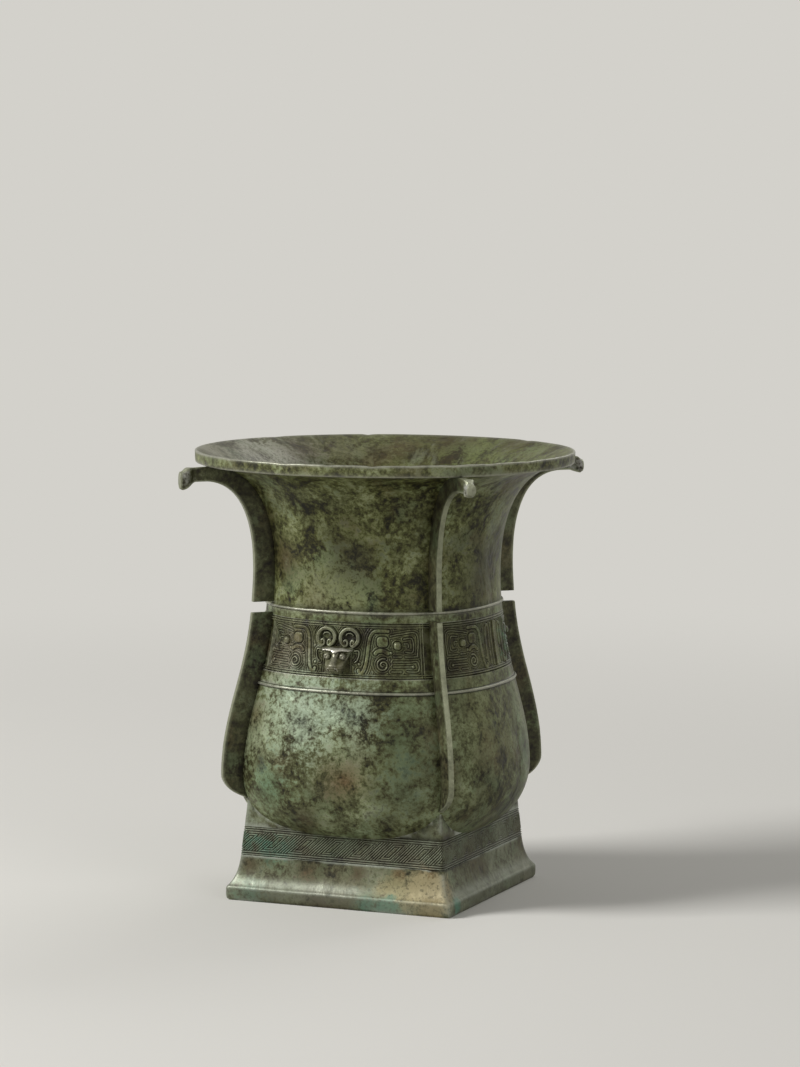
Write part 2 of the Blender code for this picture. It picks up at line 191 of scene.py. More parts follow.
def vertex_value(piece, name, values):
    layer = piece.data.attributes.new(name, "FLOAT", "POINT")
    layer.data.foreach_set("value", np.clip(values, 0, 1).astype(np.float32))


def mark_wear(piece, sharp=900.0, spread=2, soil=1.0, rubbed_and_highlight=0.0):
    """Stores where an edge stands out and use wears it, and where a hollow corner holds soil. An amount
    passed in adds to the edges: painted highlight on the foot's sweep, wear and painted highlight on the
    beast's head.
    """
    shape = bmesh.new()
    shape.from_mesh(piece.data)
    bend = np.zeros(len(shape.verts))
    for edge in shape.edges:
        if len(edge.link_faces) == 2:
            near, far = (face.calc_center_median() for face in edge.link_faces)
            turn = edge.calc_face_angle_signed(0.0) / max((near - far).length, 1e-5)
            for corner in edge.verts:
                if abs(turn) > abs(bend[corner.index]):
                    bend[corner.index] = turn
    pairs = np.array([(edge.verts[0].index, edge.verts[1].index) for edge in shape.edges])
    shape.free()
    for _ in range(spread):
        total, count = bend.copy(), np.ones(len(bend))
        for a, b in ((0, 1), (1, 0)):
            np.add.at(total, pairs[:, a], bend[pairs[:, b]])
            np.add.at(count, pairs[:, a], 1)
        bend = total / count
    vertex_value(piece, "edge", np.maximum(bend / sharp, 0) + rubbed_and_highlight)
    vertex_value(piece, "recess", -soil * bend / sharp)


def hand_over(piece, material, slot, *nodes):
    """The finished piece keeps inside the CAD box, rides with the vessel and stands for its CAD nodes."""
    places = coordinates(piece)
    move_to(piece, np.clip(places, np.array(cad_box[0]), np.array(cad_box[1])))
    piece.data.materials.clear()
    piece.data.materials.append(material)
    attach(piece, "root")
    if nodes:
        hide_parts(*nodes)


def linear(hex_colour):
    """An sRGB hex colour as linear RGBA."""
    parts = [int(hex_colour[k:k + 2], 16) / 255 for k in (1, 3, 5)]
    return [c / 12.92 if c <= 0.04045 else ((c + 0.055) / 1.055) ** 2.4 for c in parts] + [1.0]


def empty_tree(block):
    """The node tree of a material or a world, cleared."""
    block.use_nodes = True
    block.node_tree.nodes.clear()
    return block.node_tree


def put(tree, kind, sockets=None, **settings):
    """Adds a shader node, with its settings, its socket values and its incoming links."""
    made = tree.nodes.new("ShaderNode" + kind)
    for name, value in settings.items():
        setattr(made, name, value)
    for socket, value in (sockets or {}).items():
        if isinstance(value, bpy.types.NodeSocket):
            tree.links.new(value, made.inputs[socket])
        else:
            made.inputs[socket].default_value = value
    return made


def per_mm(size):
    """A pattern's scale from the size in millimetres of its features."""
    return 1000 / size


# Sizes in mm of the corrosion's features. Real grain and specks are mostly under half a millimetre,
# too fine to show in the render, so they are drawn several times as coarse.
CLOUD_SIZE, DRIFT_SIZE, GRAIN_SIZE, SPECK_SIZE = 30, 11, 2.6, 1.5
CLOUD_SHARE, DRIFT_SHARE, GRAIN_SHARE = 0.20, 0.44, 0.36
TONE_STEPS = (-0.089, -0.049, -0.004, 0.046, 0.101)
# Blooms of rust, green and dark oxide: seed, size in mm, colour and strength.
BLOOMS = ((3.7, 24, "#54432c", 0.42), (8.1, 19, "#66795a", 0.35), (5.2, 15, "#3a3b2c", 0.26))
STAIN_MIDDLE, CRUST_MIDDLE = 0.45, 1.80
LUMP_DEPTH, PIMPLE_DEPTH = 0.0050, 0.0002
SOIL = "#17150e"


def buried_bronze(name, tones, stains_and_painted_light=(), crusts=(), streaks=(), rubbed_and_highlight="#98988a", metal=0.20, gloss=0.42,
                  contrast=0.95, pitted=0.30):
    """Cast bronze under burial patina: ragged clouds of corrosion, a fine grain, rust and green bloom.

    Tones run from pit over earth, olive and sage to pale crust: more contrast shows more of both ends.
    A stain is (place and radius in mm, colour, strength), and a crust is the same with a closed middle.
    Some of them paint shade, and some paint highlights, in place of a real stain.
    A streak is (low, high, colour, strength) on a noise drawn out along the surface value flow.
    The rubbing colour goes on worn edges and on painted highlights, and pitted is how far the lumps and
    pimples stand out.
    """
    material = bpy.data.materials.new(name)
    tree = empty_tree(material)
    place = put(tree, "TexCoord").outputs["Object"]
    clouds = put(tree, "TexNoise", {
        "Vector": place, "Scale": per_mm(CLOUD_SIZE), "Detail": 4.0, "Roughness": 0.55,
        "Distortion": 0.6}).outputs["Fac"]
    drift = put(tree, "TexNoise", {
        "Vector": place, "Scale": per_mm(DRIFT_SIZE), "Detail": 7.0, "Roughness": 0.66,
        "Distortion": 0.4}).outputs["Fac"]
    grain = put(tree, "TexNoise", {
        "Vector": place, "Scale": per_mm(GRAIN_SIZE), "Detail": 5.0, "Roughness": 0.72}).outputs["Fac"]

    # The grain goes into the tone itself, so that a cloud breaks up into specks at its edge, as crust does.
    tone = put(tree, "Math", {0: grain, 1: GRAIN_SHARE}, operation="MULTIPLY").outputs[0]
    for noise, part in ((drift, DRIFT_SHARE), (clouds, CLOUD_SHARE)):
        tone = put(tree, "Math", {0: noise, 1: part, 2: tone}, operation="MULTIPLY_ADD").outputs[0]
    ramp = put(tree, "ValToRGB", {"Fac": tone})
    stops = ramp.color_ramp.elements
    places = [0.5 + step / contrast for step in TONE_STEPS]
    stops[0].position, stops[0].color = places[0], linear(tones[0])
    stops[1].position, stops[1].color = places[-1], linear(tones[-1])
    for where, shade in zip(places[1:-1], tones[1:-1]):
        stops.new(where).color = linear(shade)

    # Layers of (cover, colour) over the tone: blooms, streaks, stains and crusts, pits, soil, bare metal. A
    # few stains are painted shade and a few painted highlight, and the bare metal layer also carries
    # painted highlight.
    layers = []
    rough_edge = put(tree, "Math", {0: drift, 1: grain}, operation="ADD").outputs[0]
    for seed, size, shade, strength in BLOOMS:
        bloom = put(tree, "TexNoise", {
            "Vector": place, "W": seed, "Scale": per_mm(size), "Detail": 3.0}, noise_dimensions="4D")
        ragged = put(tree, "Math", {
            0: rough_edge, 1: 0.60, 2: bloom.outputs["Fac"]}, operation="MULTIPLY_ADD")
        spread = put(tree, "MapRange", {
            "Value": ragged.outputs[0], "From Min": 1.15, "From Max": 1.27, "To Max": strength})
        layers.append((spread, shade))
    if streaks:
        flow = put(tree, "Attribute", attribute_name="flow").outputs["Vector"]
        runs = put(tree, "TexNoise", {"Vector": flow, "Scale": 1.0, "Detail": 6.0, "Roughness": 0.62})
        for low, high, shade, strength in streaks:
            run = put(tree, "MapRange", {
                "Value": runs.outputs["Fac"], "From Min": low, "From Max": high, "To Max": strength})
            layers.append((run, shade))
    for spots, middle in ((stains_and_painted_light, STAIN_MIDDLE), (crusts, CRUST_MIDDLE)):
        for centre, radius, shade, strength in spots:
            off = put(tree, "VectorMath", {
                0: place, 1: tuple(c / 1000 for c in centre)}, operation="DISTANCE")
            fade = put(tree, "MapRange", {
                "Value": off.outputs["Value"], "From Min": 1.5 * radius / 1000, "From Max": 0.0,
                "To Min": -0.60, "To Max": middle}, clamp=False)
            broken = put(tree, "Math", {
                0: rough_edge, 1: 3.0, 2: fade.outputs[0]}, operation="MULTIPLY_ADD")
            cover = put(tree, "MapRange", {
                "Value": broken.outputs[0], "From Min": 2.60, "From Max": 3.60, "To Max": strength})
            layers.append((cover, shade))
    specks = put(tree, "TexNoise", {
        "Vector": place, "Scale": per_mm(SPECK_SIZE), "Detail": 2.0, "Roughness": 0.55}).outputs["Fac"]
    pits = put(tree, "MapRange", {"Value": specks, "From Min": 0.46, "From Max": 0.32, "To Max": 0.60})
    hollow = put(tree, "Attribute", attribute_name="recess").outputs["Fac"]
    soiled = put(tree, "Math", {0: hollow, 1: 0.85}, operation="MULTIPLY")
    # The edge value holds worn edges and, on the foot's sweep and the beast's brow, a painted highlight.
    proud_and_highlight = put(tree, "Attribute", attribute_name="edge").outputs["Fac"]
    patchy = put(tree, "MapRange", {
        "Value": rough_edge, "From Min": 0.80, "From Max": 1.10, "To Min": 0.60, "To Max": 0.90}).outputs[0]
    bare_and_highlight = put(tree, "Math", {0: proud_and_highlight, 1: patchy}, operation="MULTIPLY", use_clamp=True)
    layers += [(pits, tones[1]), (soiled, SOIL), (bare_and_highlight, rubbed_and_highlight)]
    colour = ramp.outputs["Color"]
    # A mix of colours takes them at sockets 6 and 7.
    for cover, shade in layers:
        colour = put(tree, "Mix", {
            0: cover.outputs[0], 6: colour, 7: linear(shade)}, data_type="RGBA").outputs[2]

    rough = put(tree, "MapRange", {
        "Value": grain, "From Min": 0.35, "From Max": 0.65, "To Min": gloss - 0.06,
        "To Max": gloss + 0.12}).outputs[0]
    smoother = put(tree, "Math", {0: bare_and_highlight.outputs[0], 1: -0.10, 2: rough}, operation="MULTIPLY_ADD")
    metallic = put(tree, "Math", {0: bare_and_highlight.outputs[0], 1: 0.35, 2: metal}, operation="MULTIPLY_ADD")
    lumps = put(tree, "Bump", {"Height": clouds, "Strength": 1.5 * pitted, "Distance": LUMP_DEPTH})
    pimples = put(tree, "Bump", {
        "Height": grain, "Strength": pitted, "Distance": PIMPLE_DEPTH, "Normal": lumps.outputs[0]})
    shader = put(tree, "BsdfPrincipled", {
        "Base Color": colour, "Roughness": smoother.outputs[0], "Metallic": metallic.outputs[0],
        "Normal": pimples.outputs[0], "Specular IOR Level": 0.24})
    put(tree, "OutputMaterial", {"Surface": shader.outputs[0]})
    return material


# Sage patina on cast bronze: a thin hard skin, mottled from dark pits to pale green, with a satin sheen.
SAGE_TONES = ("#19180c", "#3a391f", "#5b5f3e", "#7f8863", "#a6b08e")
WALL_STAINS_AND_SHADE = (
    ((-19, -70, 106), 22, "#a0b09a", 0.80),
    ((8, -71, 106), 17, "#9bab93", 0.75),
    ((-30, -63, 120), 18, "#94a48c", 0.65),
    ((-46, -62, 90), 22, "#929e80", 0.60),
    ((12, -76, 88), 15, "#8b9677", 0.55),
    ((10, -76, 71), 12, "#6b4630", 0.50),
    ((-50, -59, 100), 9, "#5d4a2e", 0.65),
    ((-36, -57, 133), 13, "#6d5545", 0.55),
    ((-22, -62, 136), 9, "#695644", 0.40),
    ((-39, -70, 65), 13, "#54765a", 0.60),
    # This dark green patch by the front corner's fin is partly green corrosion and partly painted shade.
    ((38, -68, 91), 16, "#45553c", 0.60),
    ((41, -69, 68), 15, "#40503f", 0.60),
    ((71, -22, 100), 22, "#74734a", 0.50),
    ((66, 22, 138), 12, "#458268", 0.75),
    ((-43, -68, 77), 4.5, "#1f1d14", 0.90),
    ((20, 74, 80), 24, "#93a188", 0.70),
    ((-25, 70, 100), 20, "#8f9c80", 0.60),
    ((-72, 10, 90), 22, "#5a7d64", 0.55),
    ((-71, -22, 70), 12, "#654634", 0.60),
    ((74, 20, 78), 14, "#4c6a55", 0.50),
)
wall_patina = buried_bronze("sage_burial_patina", SAGE_TONES, stains_and_painted_light=WALL_STAINS_AND_SHADE)

BAND_EDGE = np.array((-0.0005, -0.0002, 0.0, 1e-5))
STRING_FOOT = np.array((-0.75, -0.60, 0.60, 0.75))
heights = np.unique(np.concatenate((
    shoulder[(shoulder[:, 1] > BELLY_Z) & (shoulder[:, 1] < JOINT_Z), 1],
    LOWER_STRING_Z + np.linspace(-0.5, 0.5, 13) * STRING_WIDTH,
    LOWER_STRING_Z + STRING_FOOT * STRING_WIDTH,
    BAND_LOW + BAND_EDGE, BAND_HIGH - BAND_EDGE, (JOINT_Z - 0.0003, JOINT_Z))))
sunk = np.where((heights > BAND_LOW) & (heights < BAND_HIGH), BAND_SINK, 0)
outside = wall_half(heights) + string_line(heights, LOWER_STRING_Z, STRING_WIDTH, STRING_RELIEF) - sunk
floor_under = [(r, FLOOR_Z + SPACER_SINK) for r in FLOOR_RINGS]
inner = bezier((FLOOR_HALF, FLOOR_Z + WALL), (FLOOR_PULL - WALL, FLOOR_Z + WALL),
               (BELLY_HALF - WALL, UNDER_PULL + WALL), (BELLY_HALF - WALL, BELLY_Z + WALL), 20)
inner_heights = np.linspace(BELLY_Z + 2 * WALL, JOINT_Z, 24)
inside = np.vstack((inner, np.column_stack((wall_half(inner_heights) - WALL, inner_heights))))
floor_over = [(r, FLOOR_Z + WALL - SPACER_SINK) for r in FLOOR_RINGS[::-1]]
belly = throw("pouch_belly", [
    *floor_under, *underside, *zip(outside, heights), *inside[::-1], *floor_over])
close_ends(bridge=False)
draw_out_corners(belly)
swell(belly, lump=0.030, depth=0.0006)
mark_wear(belly)
bpy.ops.object.shade_smooth_by_angle(angle=CAST_EDGE)
hand_over(belly, wall_patina, "wall_bronze", "belly")

# Casting spacers: squares of older bronze that held the core off the mould while the floor was poured.
# They stay in the floor, nearly level with it, and show as dull squares inside and underneath,
# apart from where the uneven floor laps over a face by a few hundredths of a millimetre.
CORNERS = ("front_right", "back_right", "back_left", "front_left")
# Bronze of another melt under the same burial: flat brown, with less green than the floor around it.
SPACER_TONES = ("#211f16", "#403c2b", "#4e4f3c", "#66694f", "#7d8167")
spacer_patina = buried_bronze("dull_spacer_bronze", SPACER_TONES, metal=0.25)
for corner in CORNERS:
    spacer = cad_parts["floor_spacer_" + corner]
    spacer.data.materials.clear()
    spacer.data.materials.append(spacer_patina)

# Ornament band: relief cast from lines that the moulder cut, on all four sides under the neck.
# Smooth straps draw two dragons that face a middle line, with boss eyes, on a ground of fine threads.
# The straps are rubbed pale and the ground between the threads holds dark soil.
SIDES = (("front", -90), ("right", 0), ("back", 90), ("left", 180))
HEAD_SIDES = ("front", "back")
BAND_COLUMNS, BAND_ROWS = 540, 150
BAND_ZERO = 0.1252
# The relief's own sizes are in mm, u from the middle of a side and v from the band's lower border line.
BAND_TALL, BAND_MARGIN = 27.0, 0.9
STRAP_EDGE = 0.45
THREAD_PITCH = 1.15
SPIRAL_CELL = 4.6
GROUND_HIGH, BORDER_HIGH = 0.45, 0.58
SNOUT_U, SNOUT_V, SNOUT_LONG, SNOUT_TALL, SNOUT_ROUND = 24.6, 18.5, 1.1, 0.8, 2.1
BOSS_U, BOSS_V, BOSS_HALF, BOSS_HIGH = 32.6, 16.6, 2.1, 2.2
KNOBS, KNOB_HALF = ((12.4, 6.6), (29.2, 12.8), (40.6, 5.6)), 0.9
RIDGE_HALF, RIDGE_HIGH, RIDGE_GROOVE = 1.15, 1.55, 0.75
FRAME_LINES, FRAME_HALF, FRAME_HIGH = (45.0, 46.5), 0.42, 0.55
HORN_U, HORN_V = 6.6, 20.1


def smooth_step(low, high, value):
    t = np.clip((value - low) / (high - low), 0, 1)
    return t * t * (3 - 2 * t)


def rounded(points, steps=6):
    """A smooth path through points, by the rule of four neighbours."""
    p = np.array([points[0], *points, points[-1]], dtype=float)
    path = []
    for k in range(1, len(p) - 2):
        for t in np.arange(steps) / steps:
            path.append(0.5 * (2 * p[k] + (p[k + 1] - p[k - 1]) * t
                        + (2 * p[k - 1] - 5 * p[k] + 4 * p[k + 1] - p[k + 2]) * t ** 2
                        + (3 * p[k] - p[k - 1] - 3 * p[k + 1] + p[k + 2]) * t ** 3))
    return np.array([*path, p[-1]])


def distance_to(path, u, v):
    """Distance in the plane from every grid point to a path."""
    nearest = np.full(u.shape, 1e3)
    for (u0, v0), (u1, v1) in zip(path, path[1:]):
        along = np.array((u1 - u0, v1 - v0))
        length = max(along @ along, 1e-9)
        t = np.clip(((u - u0) * along[0] + (v - v0) * along[1]) / length, 0, 1)
        nearest = np.minimum(nearest, np.hypot(u - u0 - t * along[0], v - v0 - t * along[1]))
    return nearest


def curl(middle_u, middle_v, outer, inner_end, start, turns):
    """A round spiral that winds inwards."""
    t = np.linspace(0, 1, 40)
    angle = math.radians(start) + 2 * math.pi * turns * t
    radius = outer + (inner_end - outer) * t
    return np.column_stack((middle_u + radius * np.cos(angle), middle_v + radius * np.sin(angle)))


def threads(away):
    """Fine raised threads side by side, parted by narrow cut lines, over a distance from an outline."""
    to_line = np.abs(away / THREAD_PITCH - np.round(away / THREAD_PITCH)) * THREAD_PITCH
    return smooth_step(0.08, 0.38, to_line)


def square_spiral(u, v, cell):
    """Thunder spirals: a square thread that winds inwards in each cell, turned about from cell to cell."""
    column, row = np.floor(u / cell), np.floor(v / cell)
    a, b = 2 * (u / cell - column) - 1, 2 * (v / cell - row) - 1
    a = np.where((column + row) % 2 > 0, -a, a)
    rim = np.maximum(np.abs(a), np.abs(b)) * cell / 2
    way = np.arctan2(b, a) / (2 * math.pi)
    return threads(rim - way * THREAD_PITCH)


def horn_scroll(side):
    """The lower end of the horn's ring, which rolls inwards beside the slit."""
    return rounded([(HORN_U + side * u, v) for u, v in (
        (2.4, 15.6), (1.15, 16.3), (1.05, 17.9), (1.9, 18.8), (2.7, 18.2), (2.3, 17.4))])


# A strap is its path, half its width and its height.
FINE_STRAP = (0.52, 0.62)
DRAGON = (
    (rounded([(12.2, 3.4), (12.9, 2.2), (14.4, 2.6), (15.8, 6.0), (16.6, 11.4), (17.1, 16.4), (17.9, 20.8),
              (19.6, 23.4), (22.2, 24.2), (27.6, 24.2)]), 1.10, 0.85),
    (rounded([(20.9, 12.4), (22.4, 13.7), (25.4, 13.8), (27.6, 12.6)]), 1.20, 0.80),
    (curl(25.0, 6.5, 3.5, 0.8, 70, 1.55), 0.62, 0.75),
    (rounded([(28.8, 21.6), (34.0, 22.6), (43.0, 22.7), (43.2, 12.0), (42.4, 10.9),
              (36.6, 10.8)]), *FINE_STRAP),
    (rounded([(36.0, 20.1), (40.5, 20.1), (40.8, 13.4), (36.8, 13.3)]), *FINE_STRAP),
    (rounded([(36.2, 17.6), (38.2, 17.5), (38.3, 15.8)]), *FINE_STRAP),
    (np.array([(30.6, 10.8), (34.6, 10.8)]), *FINE_STRAP),
    (rounded([(30.6, 8.2), (38.8, 8.2), (43.0, 8.1), (43.2, 3.4), (37.4, 3.2)]), *FINE_STRAP),
    (rounded([(30.4, 5.6), (39.8, 5.7)]), *FINE_STRAP),
    (np.array([(29.6, 3.1), (34.6, 3.1)]), *FINE_STRAP),
)
BEAST_HORN = (
    (curl(HORN_U, HORN_V, 4.75, 4.65, -62, 0.84) * (1.06, 1) - (0.06 * HORN_U, 0), 1.18, 2.2),
    (horn_scroll(-1), 0.85, 2.0),
    (horn_scroll(1), 0.85, 2.0),
    (curl(HORN_U, HORN_V + 0.2, 2.30, 2.20, 25, 0.36), 0.55, 1.3),
    (rounded([(9.6, 13.3), (11.7, 13.5), (12.1, 11.6), (11.3, 8.6), (10.0, 7.4)]), 0.55, 1.1),
)
MIDDLE_BARS = (
    (np.array([(3.9, 2.6), (3.9, 24.2)]), 0.95, 0.80),
    (rounded([(10.9, 2.6), (10.9, 19.5), (9.9, 22.8), (7.4, 23.6), (7.0, 20.0), (7.2, 12.0)]), 0.95, 0.80),
    (np.array([(7.2, 9.4), (7.2, 3.2)]), 0.80, 0.70),
)


def band_relief(u, v, with_head):
    """Height of the relief over a side's band, with horns beside a head or bars beside a ridge."""
    side = np.abs(u)
    height = np.zeros(u.shape)
    clear = np.full(u.shape, 1e3)
    for path, half, high in DRAGON + (BEAST_HORN if with_head else MIDDLE_BARS):
        away = distance_to(path, side, v)
        crown = 1 - 0.20 * np.clip(away / half, 0, 1) ** 2
        flank = 1 - smooth_step(half - min(STRAP_EDGE, half), half, away)
        height = np.maximum(height, high * crown * flank)
        clear = np.minimum(clear, away - half)
    past_long = np.maximum(np.abs(side - SNOUT_U) - SNOUT_LONG, 0)
    past_tall = np.maximum(np.abs(v - SNOUT_V) - SNOUT_TALL, 0)
    snout = np.hypot(past_long, past_tall) - SNOUT_ROUND
    snout_crown = 1.0 - 0.04 * np.clip(snout + SNOUT_ROUND, 0, 9) ** 2
    height = np.maximum(height, snout_crown * (1 - smooth_step(-STRAP_EDGE, 0, snout)))
    boss = squared_length(np.abs(side - BOSS_U), np.abs(v - BOSS_V), 2.5)
    height = np.maximum(height, BOSS_HIGH * np.clip(1 - (boss / BOSS_HALF) ** 2.4, 0, 1) ** 0.5)
    clear = np.minimum(np.minimum(clear, snout), boss - BOSS_HALF)
    for knob_u, knob_v in KNOBS:
        knob = np.hypot(side - knob_u, v - knob_v)
        height = np.maximum(height, KNOB_HALF * np.sqrt(np.clip(1 - (knob / KNOB_HALF) ** 2, 0, 1)))
        clear = np.minimum(clear, knob - KNOB_HALF)
    for line in FRAME_LINES:
        edge = smooth_step(FRAME_HALF - 0.3, FRAME_HALF, np.abs(side - line))
        height = np.maximum(height, FRAME_HIGH * (1 - edge))
    if with_head:
        # Plain ground inside the horns' rings and behind the face.
        clear = np.minimum(clear, np.hypot(side - HORN_U, v - HORN_V) - 4.5)
        clear = np.minimum(clear, np.hypot(np.maximum(side - 5.4, 0), np.maximum(v - 12.0, 0)) - 1.5)
    else:
        ridge = RIDGE_HIGH * (1 - smooth_step(RIDGE_HALF - 0.4, RIDGE_HALF, side))
        ridge -= RIDGE_GROOVE * np.exp(-(side / 0.28) ** 2)
        height = np.maximum(height, ridge * smooth_step(1.4, 1.9, v) * smooth_step(1.4, 1.9, BAND_TALL - v))
        clear = np.minimum(clear, side - RIDGE_HALF)
    field = smooth_step(44.4, 44.1, side) * smooth_step(1.5, 1.8, v) * smooth_step(1.5, 1.8, BAND_TALL - v)
    beside_straps = clear < 2.6 * THREAD_PITCH
    ground = GROUND_HIGH * np.where(beside_straps, threads(clear - 0.12), square_spiral(u, v, SPIRAL_CELL))
    height = np.maximum(height, ground * field * (clear > 0))
    for line in (0.0, THREAD_PITCH, BAND_TALL - THREAD_PITCH, BAND_TALL):
        height = np.maximum(height, BORDER_HIGH * (1 - smooth_step(0.15, 0.50, np.abs(v - line))))
    return height


def blurred(grid, passes):
    for _ in range(passes):
        padded = np.pad(grid, 1, mode="edge")
        grid = (padded[:-2, 1:-1] + padded[2:, 1:-1] + padded[1:-1, :-2] + padded[1:-1, 2:] + 2 * grid) / 6
    return grid


# The relief's ground lies a little under the plain wall, in mm, and its back well inside it, in metres.
PLATE_BED, PLATE_ROOT = 0.30, 0.0024
GROUND_SOIL = 0.42


def flat_grid(name, columns, rows):
    """A flat sheet of cells, from -1 to 1 both ways."""
    bpy.ops.object.select_all(action="DESELECT")
    bpy.ops.mesh.primitive_grid_add(x_subdivisions=columns, y_subdivisions=rows, size=2)
    sheet = bpy.context.object
    sheet.name = name
    return sheet


def relief_plate(name, columns, rows, lay, relief):
    """A fine grid laid on a wall and raised by a relief in mm, closed by a plain back inside the wall.

    lay(s, t, out) gives places on the wall for s and t from -1 to 1, and relief(s, t) the height there.
    """
    plate = flat_grid(name, columns, rows)
    flat = coordinates(plate)
    order = np.lexsort((flat[:, 0].round(6), flat[:, 1].round(6)))
    s = flat[order, 0].reshape(rows + 1, columns + 1)
    t = flat[order, 1].reshape(rows + 1, columns + 1)
    height = relief(s, t)
    above = height - blurred(height, 24)
    out = (height - PLATE_BED) / 1000
    out[0], out[-1] = -PLATE_ROOT, -PLATE_ROOT
    places = np.empty_like(flat)
    places[order] = lay(s, t, out).reshape(-1, 3)
    move_to(plate, places)
    values = np.empty(len(flat))
    values[order] = (0.9 * smooth_step(0.05, 0.55, above)).ravel()
    vertex_value(plate, "edge", values)
    soil = np.maximum(smooth_step(-0.04, -0.30, above), GROUND_SOIL)
    values[order] = (soil * (1 - smooth_step(0.35, 0.75, height))).ravel()
    vertex_value(plate, "recess", values)
    rooted = np.zeros(len(flat), bool)
    rooted[order[:columns + 1]] = rooted[order[-columns - 1:]] = True
    pairs = np.empty(2 * len(plate.data.edges), np.int32)
    plate.data.edges.foreach_get("vertices", pairs)
    bpy.ops.object.mode_set(mode="EDIT")
    bpy.ops.mesh.select_mode(type="EDGE")
    bpy.ops.mesh.select_all(action="DESELECT")
    bpy.ops.object.mode_set(mode="OBJECT")
    plate.data.edges.foreach_set("select", rooted[pairs.reshape(-1, 2)].all(axis=1))
    bpy.ops.object.mode_set(mode="EDIT")
    bpy.ops.mesh.bridge_edge_loops()
    bpy.ops.object.mode_set(mode="OBJECT")
    close_ends(bridge=False)
    bpy.ops.object.shade_smooth()
    return plate


band_mid = (BAND_LOW + BAND_HIGH) / 2
turn_steps = np.radians(np.linspace(-45, 45, 721))
mid_reach = wall_half(band_mid) / squared_length(
    np.abs(np.cos(turn_steps)), np.abs(np.sin(turn_steps)), squareness(band_mid))
mid_path = np.column_stack((mid_reach * np.sin(turn_steps), mid_reach * np.cos(turn_steps)))
arc = np.concatenate(((0,), np.cumsum(np.hypot(*np.diff(mid_path, axis=0).T))))
arc -= arc[-1] / 2
half_side = 1000 * arc[-1]


def band_v(t):
    """Height in mm over the band's lower border line, t from -1 to 1 over the plate."""
    return BAND_TALL / 2 + t * (BAND_TALL / 2 + BAND_MARGIN)


def turned_to(facing, front, side, z):
    """Places in the vessel's frame, from their reach and side step on the face at an azimuth."""
    azimuth = math.radians(facing)
    x = front * math.cos(azimuth) - side * math.sin(azimuth)
    y = front * math.sin(azimuth) + side * math.cos(azimuth)
    return np.stack((x, y, z), axis=-1)


def band_place(s, t, out, facing):
    """Places on the band's wall, from the middle of the side that faces a given azimuth."""
    z = BAND_ZERO + band_v(t) / 1000
    turn = np.interp(s * arc[-1], arc, turn_steps)
    n = squareness(z)
    c, d = np.cos(turn), np.abs(np.sin(turn))
    reach = wall_half(z) / squared_length(c, d, n)
    lean = np.arctan2(np.sign(turn) * d ** (n - 1), c ** (n - 1))
    side = reach * np.sin(turn) + out * np.sin(lean)
    return turned_to(facing, reach * c + out * np.cos(lean), side, z)


# The wall's patina with soil packed into the ground: dark brown between threads, pale on the straps' tops.
BAND_TONES = ("#1a170c", "#36321b", "#535434", "#70734c", "#929672")
band_patina = buried_bronze("soiled_band_patina", BAND_TONES, stains_and_painted_light=WALL_STAINS_AND_SHADE, rubbed_and_highlight="#8f917c")
for side_name, facing in SIDES:
    with_head = side_name in HEAD_SIDES
    plate = relief_plate(
        "ornament_band_" + side_name, BAND_COLUMNS, BAND_ROWS,
        lambda s, t, out, facing=facing: band_place(s, t, out, facing),
        lambda s, t, head=with_head: band_relief(s * half_side, band_v(t), head))
    ridges = () if with_head else ("band_ridge_" + side_name,)
    hand_over(plate, band_patina, "wall_bronze", *ridges)

# Beast heads: one on the middle of the front of the band and one on the back, cast with the wall.
# A muzzle with small round nostrils, bulging eyes and a heavy brow, under the C-scroll horns of the band.
# They stand furthest out of the band, so the brow and the bridge of the nose are rubbed bright and smooth;
# the brow is painted brighter still as a highlight.
CHIN_Z = 0.1264
HEAD_COLUMNS, HEAD_ROWS = 128, 120
EYE_RADIUS, EYE_SIDE, EYE_UP, EYE_OUT = 0.0018, 0.0045, 0.0093, 0.0035
PUPIL_DEPTH, EYE_SHINE = 0.0006, 0.08
NOSTRIL_SIDE, NOSTRIL_UP = 2.1, 2.3
# Height, half width and reach from the wall in mm, from the chin to the top of the brow.
HEAD_SHAPE = np.array((
    (-0.4, 2.2, -0.6), (0.0, 2.9, 2.0), (0.5, 3.7, 4.0), (1.2, 4.5, 5.7), (2.2, 5.2, 7.0), (3.4, 5.7, 7.6),
    (4.8, 6.0, 7.3), (6.2, 6.2, 6.3), (7.6, 6.4, 5.2), (9.0, 6.8, 4.3), (10.4, 7.5, 3.9), (11.6, 8.3, 3.8),
    (12.6, 8.7, 3.5), (13.5, 8.7, 2.6), (14.2, 8.5, 1.3), (14.7, 8.2, -0.6)))
HEAD_MIDDLE = (HEAD_SHAPE[-1, 0] + HEAD_SHAPE[0, 0]) / 2
HEAD_SPAN = (HEAD_SHAPE[-1, 0] - HEAD_SHAPE[0, 0]) / 2
# Bronze kept bare by handling: a bright warm grey with a soft gleam over dark olive hollows. Its near-white
# rubbed colour is also a painted highlight on the brow.
HEAD_TONES = ("#211f16", "#3d3a27", "#55553b", "#6b6d51", "#84866c")
head_patina = buried_bronze("rubbed_beast_bronze_and_highlight", HEAD_TONES, rubbed_and_highlight="#d8d5c9", metal=0.30, gloss=0.34)


def wall_front(x, z):
    """How far out the plain wall lies, x to the side of the middle of a face."""
    n = squareness(z)
    return (wall_half(z) ** n - np.abs(x) ** n) ** (1 / n)


def mound(x, y, middle_x, middle_y, size):
    return np.exp(-((x - middle_x) ** 2 + (y - middle_y) ** 2) / size ** 2)


